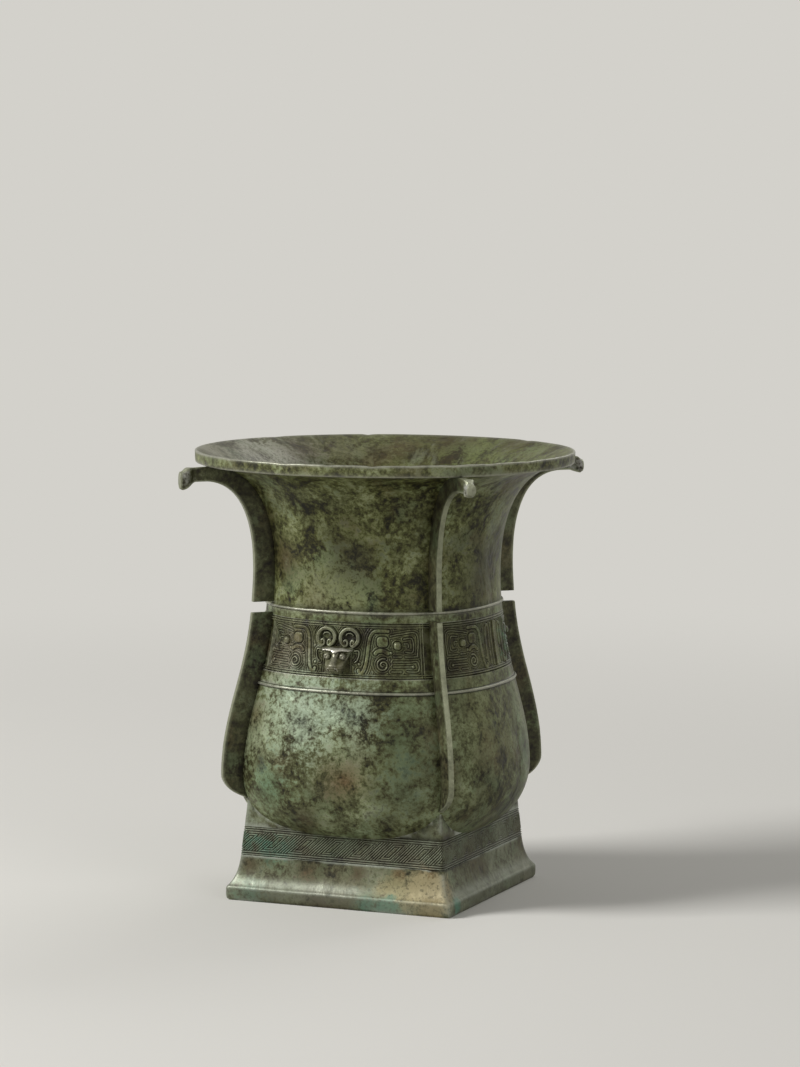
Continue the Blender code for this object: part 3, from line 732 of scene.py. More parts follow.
def head_surface(s, t):
    """The beast's face over the wall, and how bright it is worn and painted with highlight: s runs across,
    t from chin to brow.
    """
    high = HEAD_MIDDLE + HEAD_SPAN * np.sin(t * math.pi / 2)
    across = np.interp(high, HEAD_SHAPE[:, 0], HEAD_SHAPE[:, 1]) * np.abs(np.sin(s * math.pi / 2))
    reach = np.interp(high, HEAD_SHAPE[:, 0], HEAD_SHAPE[:, 2])
    x, z = np.sign(s) * across / 1000, CHIN_Z + high / 1000
    dome = np.clip(np.cos(s * math.pi / 2), 0, 1) ** 0.72
    brow_top = 13.8 - 0.25 * np.exp(-(across / 1.5) ** 2) - 0.014 * across ** 2
    brow_foot = 11.9 - 1.1 * np.exp(-(across / 1.9) ** 2) - 0.001 * across ** 2
    brow_off = (2 * high - brow_top - brow_foot) / (brow_top - brow_foot)
    brow = np.clip(1 - brow_off ** 2, 0, 1) ** 0.5
    bridge_half = np.interp(high, (3.0, 6.0, 9.0, 12.0), (2.6, 1.9, 1.7, 2.2))
    bridge_run = smooth_step(2.5, 5.5, high) * (1 - smooth_step(10.5, 12.5, high))
    bridge = np.exp(-(across / bridge_half) ** 4) * bridge_run
    ring = np.hypot(across - NOSTRIL_SIDE, high - NOSTRIL_UP)
    outer = smooth_step(-0.6, 0.6, across - NOSTRIL_SIDE + 0.4 * (high - NOSTRIL_UP))
    wing = 0.50 * np.exp(-((ring - 0.95) / 0.36) ** 2) * outer
    nostril = wing - 0.50 * np.exp(-(ring / 0.42) ** 2)
    socket = -1.4 * mound(across, high, 4.6, 9.2, 2.7)
    cheek = 0.7 * mound(across, high, 5.0, 5.2, 2.0)
    carving = 2.3 * brow * np.clip(dome * 1.6, 0, 1) + (bridge + nostril + socket + cheek) * dome
    # The brow's bright value is wear and a painted highlight; the bridge's is wear.
    wear_and_highlight = 1.20 * brow * np.clip(dome * 1.8, 0, 1) + 0.12 * bridge
    out = wall_front(x, z) + (reach * dome - 0.6 + carving * (reach > 0)) / 1000
    return np.stack((x, -out, z), axis=-1), wear_and_highlight


face = flat_grid("beast_head_front", HEAD_COLUMNS, HEAD_ROWS)
flat = coordinates(face)
face_places, face_wear_and_highlight = head_surface(flat[:, 0], flat[:, 1])
move_to(face, face_places)
close_ends(bridge=False)
features = [face]
eye_out = float(wall_front(EYE_SIDE, CHIN_Z + EYE_UP)) + EYE_OUT
for side in (-1, 1):
    bpy.ops.mesh.primitive_uv_sphere_add(
        segments=28, ring_count=18, radius=EYE_RADIUS,
        location=(side * EYE_SIDE, -eye_out, CHIN_Z + EYE_UP))
    eye = bpy.context.object
    bpy.ops.object.transform_apply()
    ball = coordinates(eye)
    ahead = (-ball[:, 1] - eye_out) / EYE_RADIUS
    ball[:, 1] += PUPIL_DEPTH * np.exp(-((1 - np.clip(ahead, -1, 1)) / 0.05) ** 2)
    move_to(eye, ball)
    features.append(eye)
bpy.ops.object.select_all(action="DESELECT")
for feature in features:
    feature.select_set(True)
bpy.context.view_layer.objects.active = face
bpy.ops.object.join()
wear_and_highlight = np.full(len(face.data.vertices), EYE_SHINE)
wear_and_highlight[:len(face_wear_and_highlight)] = face_wear_and_highlight
mark_wear(face, sharp=5500, spread=3, soil=2.0, rubbed_and_highlight=wear_and_highlight)
bpy.ops.object.shade_smooth()
hand_over(face, head_patina, "head_bronze", "animal_head_front")
back_face = face.copy()
back_face.data = face.data.copy()
back_face.name = "beast_head_back"
bpy.context.scene.collection.objects.link(back_face)
back_face.data.transform(Matrix.Rotation(math.pi, 4, "Z"))
hand_over(back_face, head_patina, "head_bronze", "animal_head_back")

# Foot: the hollow square stand, with an upright lip at the base, a hollow sweep above and a slight taper.
# It is cast with the belly, whose round underside it meets in a curved line on each side.
# Soil has left a buff crust and bright green at the corner, and a band low on the sweep is painted pale
# silvery green as a sheen of light, and made glossier.
FOOT_HALF, FOOT_LIP, FOOT_WALL = 0.0650, 0.0070, 0.0045
SWEEP_HALF, SWEEP_LOW, SWEEP_TOP, TAPER = 0.0588, 0.0086, 0.0240, 0.0920
# Painted sheen: height, width and strength of a pale band low on the sweep, where light catches its
# flattening curve.
PAINTED_SHEEN_Z, PAINTED_SHEEN_TALL, PAINTED_SHEEN = 0.0098, 0.0026, 0.50
FOOT_TOP = 0.0640
FOOT_BAND_LOW, FOOT_BAND_HIGH, FOOT_BAND_SINK = 0.0238, 0.0394, 0.0010
FOOT_CUTS = 39
CORNER_ROUND = 0.0020
SEAT_INSET, SEAT_TOP = 0.0008, 0.110
lip_foot = ((0.0639, 0), (0.0646, 0.0008), (0.06485, 0.0014), (FOOT_HALF, 0.0030))
lip_top = ((FOOT_HALF, 0.0058), (0.06493, 0.0065), (0.06473, 0.0071), (0.06440, 0.0076), (0.06395, 0.0080))
sweep = bezier((FOOT_HALF, FOOT_LIP), (0.0616, 0.0104), (0.05963, 0.0150), (SWEEP_HALF, SWEEP_TOP), 18)
foot_sweep = np.vstack((lip_top, sweep[sweep[:, 1] > SWEEP_LOW]))
foot_line = np.vstack((lip_foot, foot_sweep, (SWEEP_HALF - TAPER * (FOOT_TOP - SWEEP_TOP), FOOT_TOP)))


def foot_half(z):
    """Half width of the foot at a height."""
    return np.interp(z, foot_line[:, 1], foot_line[:, 0])


def ease_edges(piece, width, angle):
    """Rounds the edges that turn by more than an angle."""
    eased = piece.modifiers.new("eased", "BEVEL")
    eased.width = width
    eased.segments = 3
    eased.limit_method = "ANGLE"
    eased.angle_limit = math.radians(angle)
    bpy.ops.object.modifier_apply(modifier="eased")


FOOT_BAND_EDGE = np.array((-0.0003, 0.0, 1e-5))
foot_heights = np.concatenate((
    [z for _, z in lip_foot], foot_sweep[:-1, 1],
    FOOT_BAND_LOW + FOOT_BAND_EDGE, np.linspace(0.028, 0.036, 3),
    FOOT_BAND_HIGH - FOOT_BAND_EDGE[::-1], np.linspace(0.042, FOOT_TOP, 10)))
foot_sunk = np.where((foot_heights > FOOT_BAND_LOW) & (foot_heights < FOOT_BAND_HIGH), FOOT_BAND_SINK, 0)
foot_outside = zip(foot_half(foot_heights) - foot_sunk, foot_heights)
inner_z = np.linspace(FOOT_TOP, 0, 20)
foot_inside = zip(foot_half(np.maximum(inner_z, lip_foot[-1][1])) - FOOT_WALL, inner_z)
bpy.ops.object.select_all(action="DESELECT")
bpy.ops.mesh.primitive_plane_add(size=2 * FOOT_HALF)
foot = bpy.context.object
foot.name = "square_foot_stand"
bpy.ops.object.mode_set(mode="EDIT")
bpy.ops.mesh.select_all(action="SELECT")
bpy.ops.mesh.delete(type="ONLY_FACE")
bpy.ops.mesh.select_all(action="SELECT")
bpy.ops.mesh.subdivide(number_cuts=FOOT_CUTS)
bpy.ops.object.mode_set(mode="OBJECT")
# The outline's points crowd towards the corners, which they then round.
plan = coordinates(foot)
plan[:, :2] = FOOT_HALF * np.sin(plan[:, :2] / FOOT_HALF * math.pi / 2)
along = np.abs(plan[:, :2]).min(axis=1)
turned = np.clip((along - FOOT_HALF) / CORNER_ROUND + 1, 0, 1) * math.pi / 4
low_share = np.where(turned > 0, FOOT_HALF - CORNER_ROUND + CORNER_ROUND * np.sin(turned), along)
high_share = FOOT_HALF - CORNER_ROUND + CORNER_ROUND * np.cos(turned)
x_leads = np.abs(plan[:, 0]) >= np.abs(plan[:, 1])
plan[:, 0] = np.sign(plan[:, 0]) * np.where(x_leads, high_share, low_share)
plan[:, 1] = np.sign(plan[:, 1]) * np.where(x_leads, low_share, high_share)
move_to(foot, plan * (lip_foot[0][0] / FOOT_HALF))
raise_rings([*foot_outside, *foot_inside])
close_ends(bridge=True)
seat = throw("belly_seat", [
    (FLOOR_RINGS[0], FLOOR_Z + SEAT_INSET),
    *((r - SEAT_INSET, z + SEAT_INSET) for r, z in underside),
    *((wall_half(z) - SEAT_INSET, z) for z in np.linspace(0.074, SEAT_TOP, 12)),
    (FLOOR_RINGS[0], SEAT_TOP)])
close_ends(bridge=False)
draw_out_corners(seat)
bpy.ops.object.select_all(action="DESELECT")
bpy.context.view_layer.objects.active = foot
foot.select_set(True)
cut = foot.modifiers.new("belly_seat", "BOOLEAN")
cut.operation = "DIFFERENCE"
cut.object = seat
cut.solver = "EXACT"
bpy.ops.object.modifier_apply(modifier="belly_seat")
bpy.data.objects.remove(seat)
ease_edges(foot, 0.0011, 38)
swell(foot, lump=0.024, depth=0.0005)
foot_places = coordinates(foot)
foot_places[:, 2] = np.where(foot_places[:, 2] < 0.0004, 0, foot_places[:, 2])
move_to(foot, foot_places)
# The painted sheen runs along the sweep, but not over the buff crust on the front.
under_crust = smooth_step(0.005, 0.025, foot_places[:, 0]) * (foot_places[:, 1] < -0.055)
painted_sheen = PAINTED_SHEEN * np.exp(-((foot_places[:, 2] - PAINTED_SHEEN_Z) / PAINTED_SHEEN_TALL) ** 2) * (1 - under_crust)
mark_wear(foot, soil=0.15, rubbed_and_highlight=painted_sheen)
bpy.ops.object.shade_smooth_by_angle(angle=CAST_EDGE)
# Patina that stood in wet soil: greyer and more even than the belly's, with patches of buff crust and teal.
FOOT_TONES = ("#262418", "#45432f", "#62654c", "#7f866c", "#a3aa96")
FOOT_STAINS_AND_SHADE = (
    ((14, -65, 3), 8, "#56745a", 0.50),
    ((-50, -65, 3), 10, "#4a7560", 0.65),
    ((66, -58, 9), 6, "#528a72", 0.65),
    ((-44, -58, 30), 9, "#37705a", 0.85),
    ((-55, -57, 29), 8, "#417a64", 0.75),
    ((-30, -58, 30), 6, "#3d6450", 0.50),
    ((-53, -59, 20), 8, "#4d3826", 0.80),
    ((-20, -60, 17), 5, "#573d27", 0.75),
    ((10, -60, 19), 4, "#4b3927", 0.70),
    ((-10, -65, 3), 12, "#403122", 0.70),
    # The next three darken the lip's upright face: painted shade, as that face turns away from the light
    # above.
    ((-37, -65, 2), 13, "#3b3725", 0.65),
    ((4, -65, 2), 11, "#3e3524", 0.60),
    ((65, -22, 3), 14, "#48462f", 0.50),
    ((-62, 20, 12), 16, "#9a9070", 0.70),
    ((20, 62, 12), 18, "#97a186", 0.60),
    ((-40, 60, 30), 14, "#3f7a60", 0.60),
    ((62, 30, 24), 14, "#8d937a", 0.50),
)
FOOT_CRUSTS = (
    ((50, -60, 20), 5, "#77603f", 0.75),
    ((34, -60, 20), 4, "#6b5638", 0.70),
    ((46, -62, 13), 10, "#948a68", 0.95),
    ((32, -62, 11), 8, "#8c8562", 0.85),
    ((57, -62, 12), 9, "#988e6e", 0.95),
    ((54, -65, 4), 7, "#7f7452", 0.75),
    ((17, -65, 3), 4, "#50725f", 0.65),
    ((29, -65, 3), 6, "#547765", 0.80),
    ((65, -54, 5), 4, "#43806a", 0.80),
)
# Its rubbed colour goes on worn edges and on the painted sheen.
foot_patina = buried_bronze(
    "foot_patina_and_painted_sheen", FOOT_TONES, stains_and_painted_light=FOOT_STAINS_AND_SHADE, crusts=FOOT_CRUSTS, rubbed_and_highlight="#9ca195",
    contrast=0.82, pitted=0.14)
hand_over(foot, foot_patina, "wall_bronze", "square_foot")

# Foot bands: a strip of slanting thunder lines between double border lines on each side of the foot.
# The lines are cast, as on the belly's band, and stand about half a millimetre above their ground.
FOOT_COLUMNS, FOOT_ROWS = 520, 78
FOOT_BAND_TALL = FOOT_BAND_HIGH - FOOT_BAND_LOW
STRIP_HALF = 58.5
SLANT, SLANT_REPEAT, SLANT_SHARE = 1.05, 17.0, 0.45
STRIP_BORDER, STRIP_LINES = 2.6, (0.75, 1.95)


def foot_band_relief(u, v):
    """Bundles of slanting threads, with nested lozenges between them, u and v in mm."""
    tall = 1000 * FOOT_BAND_TALL
    across = (u - SLANT * (v - tall / 2)) / SLANT_REPEAT
    cell = across - np.floor(across)
    steep = 1 / math.hypot(1, SLANT)
    bundle = threads((cell - SLANT_SHARE) * SLANT_REPEAT * steep)
    to_bundle = np.minimum(cell - SLANT_SHARE, 1 - cell) * SLANT_REPEAT * steep
    to_border = np.minimum(v - STRIP_BORDER, tall - STRIP_BORDER - v)
    nested = threads(np.minimum(to_bundle, to_border))
    height = 0.50 * np.where(cell < SLANT_SHARE, bundle, nested) * smooth_step(0.0, 0.3, to_border)
    for line in STRIP_LINES:
        off = np.minimum(np.abs(v - line), np.abs(v - (tall - line)))
        height = np.maximum(height, 0.55 * (1 - smooth_step(0.12, 0.48, off)))
    return height


def foot_place(s, t, out, facing):
    """Places on the flat side of the foot, which runs round half of each corner."""
    z = (FOOT_BAND_LOW + FOOT_BAND_HIGH) / 2 + t * FOOT_BAND_TALL / 2
    straight = foot_half(z) - CORNER_ROUND
    along = np.abs(s) * foot_half(z)
    turned = np.clip((along - straight) / CORNER_ROUND, 0, 1) * math.pi / 4
    side = np.sign(s) * (np.minimum(along, straight) + (CORNER_ROUND + out) * np.sin(turned))
    return turned_to(facing, straight + (CORNER_ROUND + out) * np.cos(turned), side, z)


for side_name, facing in SIDES:
    strip = relief_plate(
        "foot_band_" + side_name, FOOT_COLUMNS, FOOT_ROWS,
        lambda s, t, out, facing=facing: foot_place(s, t, out, facing),
        lambda s, t: foot_band_relief(STRIP_HALF * s, 500 * (1 + t) * FOOT_BAND_TALL))
    hand_over(strip, foot_patina, "wall_bronze")

# Neck: the trumpet that opens from the upper string line to a round mouth with a short upright lip.
# It is the same pour as the belly. Its edge is thin and a little chipped, and the string's top is rubbed.
# Outside it is olive with brown clouds, and inside pale silvery runs stand beside soft green.
MOUTH_RADIUS, LIP_TALL, LIP_EDGE = 0.1025, 0.0064, 0.0013
LIP_LOW = MOUTH_Z - LIP_TALL
UPPER_STRING_Z = 0.1585
FLARE_RISE, FLARE_PULL, FLARE_HALF = 0.0186, 0.0785, 0.1015
THROAT_RISE, THROAT_PULL, THROAT_PULL_Z = 0.0260, 0.0763, 0.2290
NECK_ROUND = 192
RUN_SPREAD, RUN_LONG = 13, 0.030
# Chips in the lip: azimuth and half width in degrees, depth in mm.
CHIPS = (
    (-98, 2.2, 0.5), (-84, 1.2, 0.35), (-71, 1.6, 0.6), (-60, 1.0, 0.3), (-47, 2.6, 0.4), (-35, 1.2, 0.5),
    (-120, 1.5, 0.4), (-20, 1.6, 0.3), (62, 2.0, 0.4), (118, 1.4, 0.5), (150, 2.4, 0.3), (15, 1.8, 0.5))
flare = bezier((WAIST_HALF, WAIST_Z), (WAIST_HALF, LIP_LOW - FLARE_RISE), (FLARE_PULL, LIP_LOW),
               (FLARE_HALF, LIP_LOW), 40)
inner_flare = bezier((WAIST_HALF - WALL, WAIST_Z), (WAIST_HALF - WALL, MOUTH_Z - THROAT_RISE),
                     (THROAT_PULL, THROAT_PULL_Z), (MOUTH_RADIUS - LIP_EDGE, MOUTH_Z - 0.0002), 44)
neck_heights = np.unique(np.concatenate((
    np.linspace(JOINT_Z, WAIST_Z, 10)[:-1], UPPER_STRING_Z + np.linspace(-0.478, 0.5, 13) * STRING_WIDTH)))
upper_string = string_line(neck_heights, UPPER_STRING_Z, STRING_WIDTH, STRING_RELIEF)
lip = [(0.1018, LIP_LOW + 0.0002), (0.1020, LIP_LOW + 0.0006), (0.1021, LIP_LOW + 0.0012),
       (0.1023, LIP_LOW + 0.0030), (0.1024, MOUTH_Z - 0.0016), (MOUTH_RADIUS, MOUTH_Z - 0.0009),
       (MOUTH_RADIUS, MOUTH_Z - 0.0006), (MOUTH_RADIUS - 0.0001, MOUTH_Z - 0.0003),
       (MOUTH_RADIUS - 0.0005, MOUTH_Z), (MOUTH_RADIUS - 0.0009, MOUTH_Z)]
neck_inside_heights = np.linspace(WAIST_Z, JOINT_Z, 6)[1:]
neck = throw("trumpet_neck", [
    *zip(wall_half(neck_heights) + upper_string, neck_heights), *flare, *lip, *inner_flare[::-1],
    *zip(wall_half(neck_inside_heights) - WALL, neck_inside_heights)], sides=NECK_ROUND)
close_ends(bridge=True)
draw_out_corners(neck)
swell(neck, lump=0.034, depth=0.0005)
rim_places = coordinates(neck)
turn = np.arctan2(rim_places[:, 1], rim_places[:, 0])
chip = np.zeros(len(rim_places))
for where, width, depth in CHIPS:
    away = (np.degrees(turn) - where + 180) % 360 - 180
    chip = np.maximum(chip, depth * np.exp(-(away / width) ** 2))
rim_places[:, 2] -= chip / 1000 * smooth_step(MOUTH_Z - 0.0012, MOUTH_Z - 0.0002, rim_places[:, 2])
move_to(neck, rim_places)
mark_wear(neck)
down = (np.hypot(rim_places[:, 0], rim_places[:, 1]) + rim_places[:, 2]) / RUN_LONG
flow = np.column_stack((RUN_SPREAD * np.cos(turn), RUN_SPREAD * np.sin(turn), down))
flow_layer = neck.data.attributes.new("flow", "FLOAT_VECTOR", "POINT")
flow_layer.data.foreach_set("vector", flow.astype(np.float32).ravel())
bpy.ops.object.shade_smooth_by_angle(angle=CAST_EDGE)
# Olive patina: less green salt than on the belly, so olive and dark brown oxides show, in strong clouds.
NECK_TONES = ("#171608", "#363518", "#52552e", "#757a4f", "#9aa179")
NECK_STAINS = (
    ((-35, -53, 184), 12, "#453521", 0.80),
    ((-12, -61, 165), 11, "#4a3521", 0.80),
    ((-6, -61, 170), 16, "#868e68", 0.60),
    ((8, -61, 168), 13, "#7f865f", 0.50),
    ((6, -62, 187), 16, "#302f25", 0.60),
    ((61, -8, 184), 20, "#2d2d25", 0.70),
    ((60, 16, 172), 14, "#767a54", 0.50),
    ((-60, 10, 190), 22, "#86937a", 0.55),
    ((10, 62, 185), 24, "#48442f", 0.55),
    ((-30, 55, 175), 18, "#84927a", 0.55),
)
neck_patina = buried_bronze("olive_neck_patina", NECK_TONES, stains_and_painted_light=NECK_STAINS, contrast=1.20)
# Patina where water stood and ran: soft green with silvery and brown runs down the trumpet.
INSIDE_TONES = ("#2a2712", "#3c391d", "#4f502c", "#666a40", "#818656")
INSIDE_RUNS = ((0.54, 0.66, "#868a70", 0.40), (0.45, 0.34, "#40351f", 0.55))
INSIDE_STAINS = (
    ((-85, 17, 232), 27, "#98978a", 0.80),
    ((-74, 34, 229), 22, "#a2a192", 0.75),
    ((-94, -20, 238), 22, "#918e7d", 0.75),
    ((-60, 10, 212), 20, "#8f8f80", 0.60),
    ((-70, 50, 234), 14, "#4c4130", 0.60),
    ((-50, 66, 232), 16, "#6f6d52", 0.60),
    ((23, 82, 231), 22, "#6d7a4a", 0.60),
    ((55, 60, 228), 24, "#6f794b", 0.55),
    ((84, 30, 234), 20, "#757c51", 0.50),
    ((-1, 97, 238), 12, "#42361f", 0.65),
    ((40, 88, 236), 10, "#463a22", 0.60),
)
inside_patina = buried_bronze(
    "mouth_inside_patina", INSIDE_TONES, stains_and_painted_light=INSIDE_STAINS, streaks=INSIDE_RUNS, gloss=0.44)
hand_over(neck, neck_patina, "wall_bronze", "mouth_and_neck")
neck.data.materials.append(inside_patina)
for polygon in neck.data.polygons:
    facing_in = polygon.normal.x * polygon.center.x + polygon.normal.y * polygon.center.y < 0
    polygon.material_index = int(facing_in)

# Flanges: plain upright fins on the four corners, cast with the wall, broken at the upper string line.
# The neck's fins run out under the lip to hooks with a thick oval end, and the belly's fade out below.
# Their broad sides are dark olive, and their outer edges are rubbed pale.
FIN_TALL, FIN_HALF, FIN_ROOT = 0.0116, 0.0014, 0.0009
FIN_ROWS = 9
NECK_FIN_LOW = 0.1604
HOOK_BAR, HOOK_TIP, HOOK_LONG, HOOK_HALF = 0.0078, 0.1173, 0.0086, 0.0027
HOOK_GAP, HOOK_NOD, HOOK_LIFT = 0.0003, 0.0021, 0.0007
# How far each hook hangs below the lip, in the order of the corners: no two are quite alike.
HOOK_LOWS = (0.0094, 0.0096, 0.0105, 0.0120)
BELLY_FIN_HIGH, BELLY_FIN_LOW, FIN_TAIL = 0.1546, 0.0550, 0.0130
# Bronze with a thin dark patina: near black olive on the flat sides and pale metal along the edges. The
# pale grey on the hooks' oval ends is rubbed metal and a painted highlight.
FIN_TONES = ("#1d1b14", "#343123", "#45462f", "#5b5e43", "#787c60")
fin_patina = buried_bronze(
    "dark_fin_bronze_and_highlights", FIN_TONES, rubbed_and_highlight="#8f927a",
    stains_and_painted_light=tuple(((x, y, 228), 6, "#b4b3b0", 0.80) for x in (-83, 83) for y in (-83, 83)))


def corner_line(line):
    """A wall line measured on the diagonal, where the section reaches furthest out."""
    line = np.asarray(line)
    return np.column_stack((line[:, 0] * 2 ** (0.5 - 1 / squareness(line[:, 1])), line[:, 1]))


def beside(line, distance):
    """A line moved outwards by a distance, which may change along it."""
    way = np.gradient(line, axis=0)
    way /= np.hypot(way[:, 0], way[:, 1])[:, None]
    return line + np.column_stack((way[:, 1], -way[:, 0])) * np.reshape(distance, (-1, 1))


def fin(name, root, edge, halves, azimuth):
    """A fin from a flat sheet between two lines, thickened, its edges eased, and turned to its corner."""
    rungs = len(root) - 1
    sheet = flat_grid(name, rungs, FIN_ROWS)
    flat = coordinates(sheet)
    along, out = (flat[:, 0] + 1) / 2 * rungs, np.sin((flat[:, 1] + 1) / 2 * math.pi / 2)
    steps = np.arange(rungs + 1)
    places = np.zeros_like(flat)
    rounding = np.sqrt(np.clip(1 - (2 * out - 1) ** 2, 0.05, 1))
    for axis, column in ((0, 0), (2, 1)):
        low, high = np.interp(along, steps, root[:, column]), np.interp(along, steps, edge[:, column])
        places[:, axis] = low + (high - low) * out
    move_to(sheet, places)
    thick = sheet.modifiers.new("thick", "SOLIDIFY")
    thick.thickness = 2 * FIN_HALF
    thick.offset = 0
    bpy.ops.object.modifier_apply(modifier="thick")
    solid = coordinates(sheet)
    oval = smooth_step(HOOK_TIP - 0.0045, HOOK_TIP - 0.0008, solid[:, 0])
    half = np.interp(solid[:, 0], halves[:, 0], halves[:, 1]) * (1 - oval * (1 - np.tile(rounding, 2)))
    solid[:, 1] = np.sign(solid[:, 1]) * half
    move_to(sheet, solid)
    ease_edges(sheet, 0.0005, 50)
    turn_outwards()
    swell(sheet, lump=0.016, depth=0.0004)
    worn = coordinates(sheet) * 1000
    rim = np.vstack((edge, root[root[:, 0] > MOUTH_RADIUS][::-1])) * 1000
    to_rim = distance_to(rim, worn[:, 0], worn[:, 2])
    vertex_value(sheet, "edge", 1 - smooth_step(0.40, 1.05, to_rim))
    joint = root[root[:, 0] < MOUTH_RADIUS - 0.001] * 1000
    to_joint = distance_to(joint, worn[:, 0], worn[:, 2])
    vertex_value(sheet, "recess", 0.6 - 0.6 * smooth_step(1.2, 3.2, to_joint))
    sheet.data.transform(Matrix.Rotation(math.radians(azimuth), 4, "Z"))
    bpy.ops.object.shade_smooth_by_angle(angle=math.radians(40))
    return sheet


low_heights = np.linspace(NECK_FIN_LOW, WAIST_Z, 8)[:-1]
fin_wall = corner_line(np.vstack((np.column_stack((wall_half(low_heights), low_heights)), flare)))
share = np.linspace(0, 1, len(fin_wall))
neck_root = beside(fin_wall, -FIN_ROOT)
neck_root[-1] = fin_wall[-1]
neck_edge = beside(fin_wall, FIN_TALL + (HOOK_BAR - FIN_TALL) * share ** 2)
neck_root[0, 1] = neck_edge[0, 1] = NECK_FIN_LOW
bar_low = neck_edge[-1, 1]
heel = HOOK_TIP - HOOK_LONG
hook_run = np.sin(np.linspace(0, 1, 18) * math.pi / 2)
nod = HOOK_NOD * smooth_step(0.30, 1.0, hook_run) ** 1.6
hook_root = np.column_stack((heel + HOOK_LONG * hook_run, LIP_LOW - HOOK_GAP - nod))
sag = smooth_step(0.0, 0.85, hook_run)
lift = HOOK_LIFT * smooth_step(0.80, 1.0, hook_run) ** 1.6
neck_root = np.vstack((neck_root, hook_root))
hook_share = np.linspace(0, 1, 12)
hook_halves = FIN_HALF + (HOOK_HALF - FIN_HALF) * smooth_step(0.05, 0.55, hook_share)
hook_halves[-2:] *= (0.98, 0.90)
neck_halves = np.vstack(((0.0, FIN_HALF), np.column_stack((heel + HOOK_LONG * hook_share, hook_halves))))

tail_top = BELLY_FIN_LOW + FIN_TAIL
tail_heights = np.concatenate((
    np.linspace(BELLY_FIN_LOW, tail_top, 14)[:-1], np.linspace(tail_top, BELLY_FIN_HIGH, 46)))
belly_wall = corner_line(np.column_stack((wall_half(tail_heights), tail_heights)))
belly_full = beside(belly_wall, FIN_TALL)
belly_root = beside(belly_wall, -FIN_ROOT)
short = np.clip(1 - (tail_heights - BELLY_FIN_LOW) / FIN_TAIL, 0, 1)
keep = np.maximum(1 - short ** 1.7, 0.10)[:, None]
belly_edge = belly_wall + (belly_full - belly_wall) * keep
belly_root[-1, 1] = belly_edge[-1, 1] = BELLY_FIN_HIGH
belly_halves = np.array(((0.0, FIN_HALF), (1.0, FIN_HALF)))
for quarter, (corner, hook_low) in enumerate(zip(CORNERS, HOOK_LOWS)):
    azimuth = 90 * quarter - 45
    hook_edge = np.column_stack((hook_root[:, 0], bar_low + (LIP_LOW - hook_low - bar_low) * sag + lift))
    upper = fin("neck_fin_" + corner, neck_root, np.vstack((neck_edge, hook_edge)), neck_halves, azimuth)
    hand_over(upper, fin_patina, "flange_bronze", "neck_flange_" + corner)
    lower = fin("belly_fin_" + corner, belly_root, belly_edge, belly_halves, azimuth)
    hand_over(lower, fin_patina, "flange_bronze", "belly_flange_" + corner)

# Studio: pale paper under the vessel, a large soft lamp at the upper left, weaker ones right and behind.
# Further off, the camera sees floor and surround as one even pale tone, so no horizon shows.
PAPER, BACKDROP, SURROUND = "#dedcd6", "#d3d1cb", "#e6e5e2"
SOFT_LIGHT = 0.24
# Lamps: name, place, size and watts, all aimed at the middle of the vessel.
LAMPS = (("key", (-1.60, -1.30, 1.55), 0.9, 58.0), ("fill", (1.9, -0.9, 1.0), 1.4, 7.0),
         ("back", (0.4, 1.6, 1.5), 1.2, 9.0))
AIM = Vector((0, 0, 0.12))
CAMERA_PLACE, CAMERA_TURN = (0.8282560, -1.9842743, 0.4217824), (1.4654, -0.0048, 0.3921)
CAMERA_LENS, CAMERA_FILM = 134.958, 36
bpy.ops.object.select_all(action="DESELECT")
bpy.ops.mesh.primitive_plane_add(size=60)
floor = bpy.context.object
floor.name = "paper_floor"
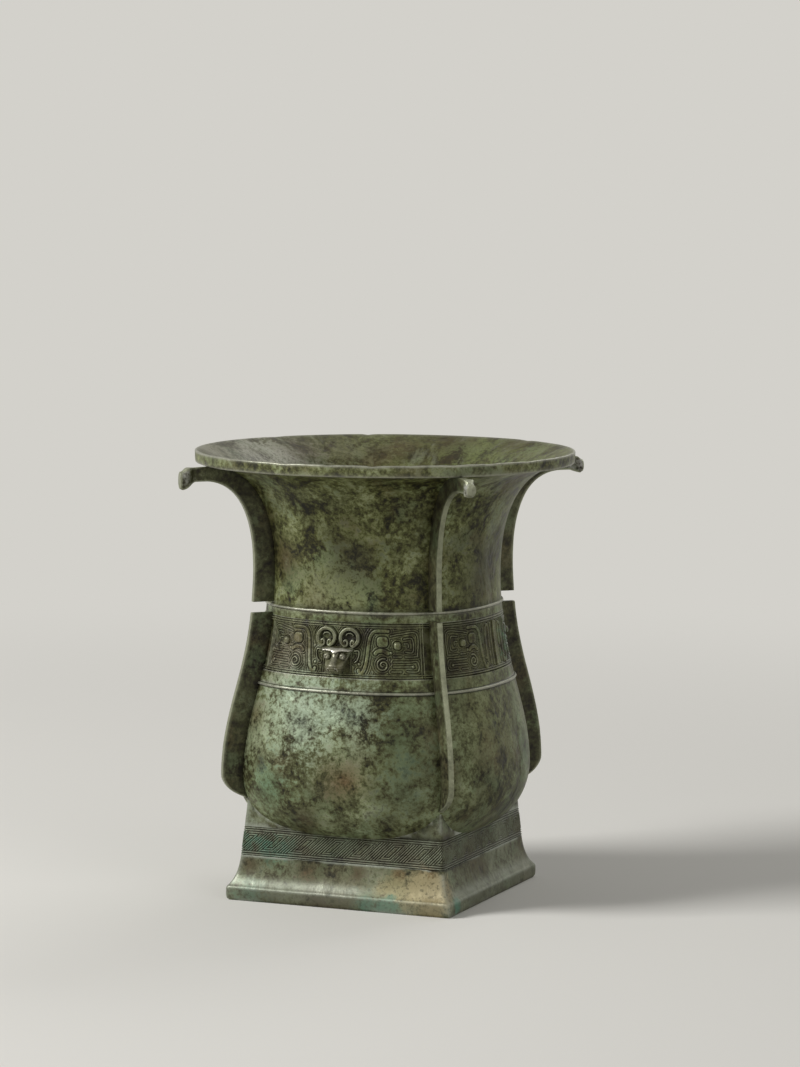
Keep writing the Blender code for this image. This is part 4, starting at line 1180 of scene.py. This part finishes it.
# Uncoated paper: matt, with a faint tooth. Real fibres are too fine to show, so they are drawn 3 mm wide.
paper = bpy.data.materials.new("pale_paper")
tree = empty_tree(paper)
place = put(tree, "TexCoord").outputs["Object"]
off = put(tree, "VectorMath", {0: place}, operation="LENGTH").outputs["Value"]
far = put(tree, "MapRange", {
    "Value": off, "From Min": 0.30, "From Max": 1.30}, interpolation_type="SMOOTHSTEP").outputs[0]
path = put(tree, "LightPath").outputs
seen = put(tree, "Math", {
    0: path["Is Camera Ray"], 1: path["Is Glossy Ray"]}, operation="MAXIMUM").outputs[0]
even = put(tree, "Math", {0: far, 1: seen}, operation="MULTIPLY").outputs[0]
fibre = put(tree, "TexNoise", {"Vector": place, "Scale": per_mm(3), "Detail": 3.0}).outputs["Fac"]
tooth = put(tree, "Bump", {"Height": fibre, "Strength": 0.05, "Distance": 0.0002}).outputs[0]
matt = put(tree, "BsdfPrincipled", {"Base Color": linear(PAPER), "Roughness": 0.9, "Normal": tooth})
glow = put(tree, "Emission", {"Color": linear(BACKDROP), "Strength": 1.0})
both = put(tree, "MixShader", {0: even, 1: matt.outputs[0], 2: glow.outputs[0]})
put(tree, "OutputMaterial", {"Surface": both.outputs[0]})
floor.data.materials.append(paper)

world = bpy.data.worlds.new("studio")
tree = empty_tree(world)
path = put(tree, "LightPath").outputs
direct = put(tree, "Math", {
    0: path["Is Camera Ray"], 1: path["Is Transmission Ray"]}, operation="MAXIMUM").outputs[0]
seen = put(tree, "Math", {0: direct, 1: path["Is Glossy Ray"]}, operation="MAXIMUM").outputs[0]
soft = put(tree, "Background", {"Color": linear(SURROUND), "Strength": SOFT_LIGHT})
shown = put(tree, "Background", {"Color": linear(BACKDROP), "Strength": 1.0})
both = put(tree, "MixShader", {0: seen, 1: soft.outputs[0], 2: shown.outputs[0]})
put(tree, "OutputWorld", {"Surface": both.outputs[0]})
bpy.context.scene.world = world

for name, place, size, watts in LAMPS:
    bpy.ops.object.light_add(type="AREA", location=place)
    lamp = bpy.context.object
    lamp.name = name + "_lamp"
    lamp.data.size = size
    lamp.data.energy = watts
    lamp.rotation_euler = (AIM - Vector(place)).to_track_quat("-Z", "Y").to_euler()

bpy.ops.object.camera_add(location=CAMERA_PLACE, rotation=CAMERA_TURN)
camera = bpy.context.object
camera.data.lens = CAMERA_LENS
camera.data.sensor_fit = "VERTICAL"
camera.data.sensor_height = CAMERA_FILM
bpy.context.scene.camera = camera
bpy.context.scene.view_settings.view_transform = "Standard"
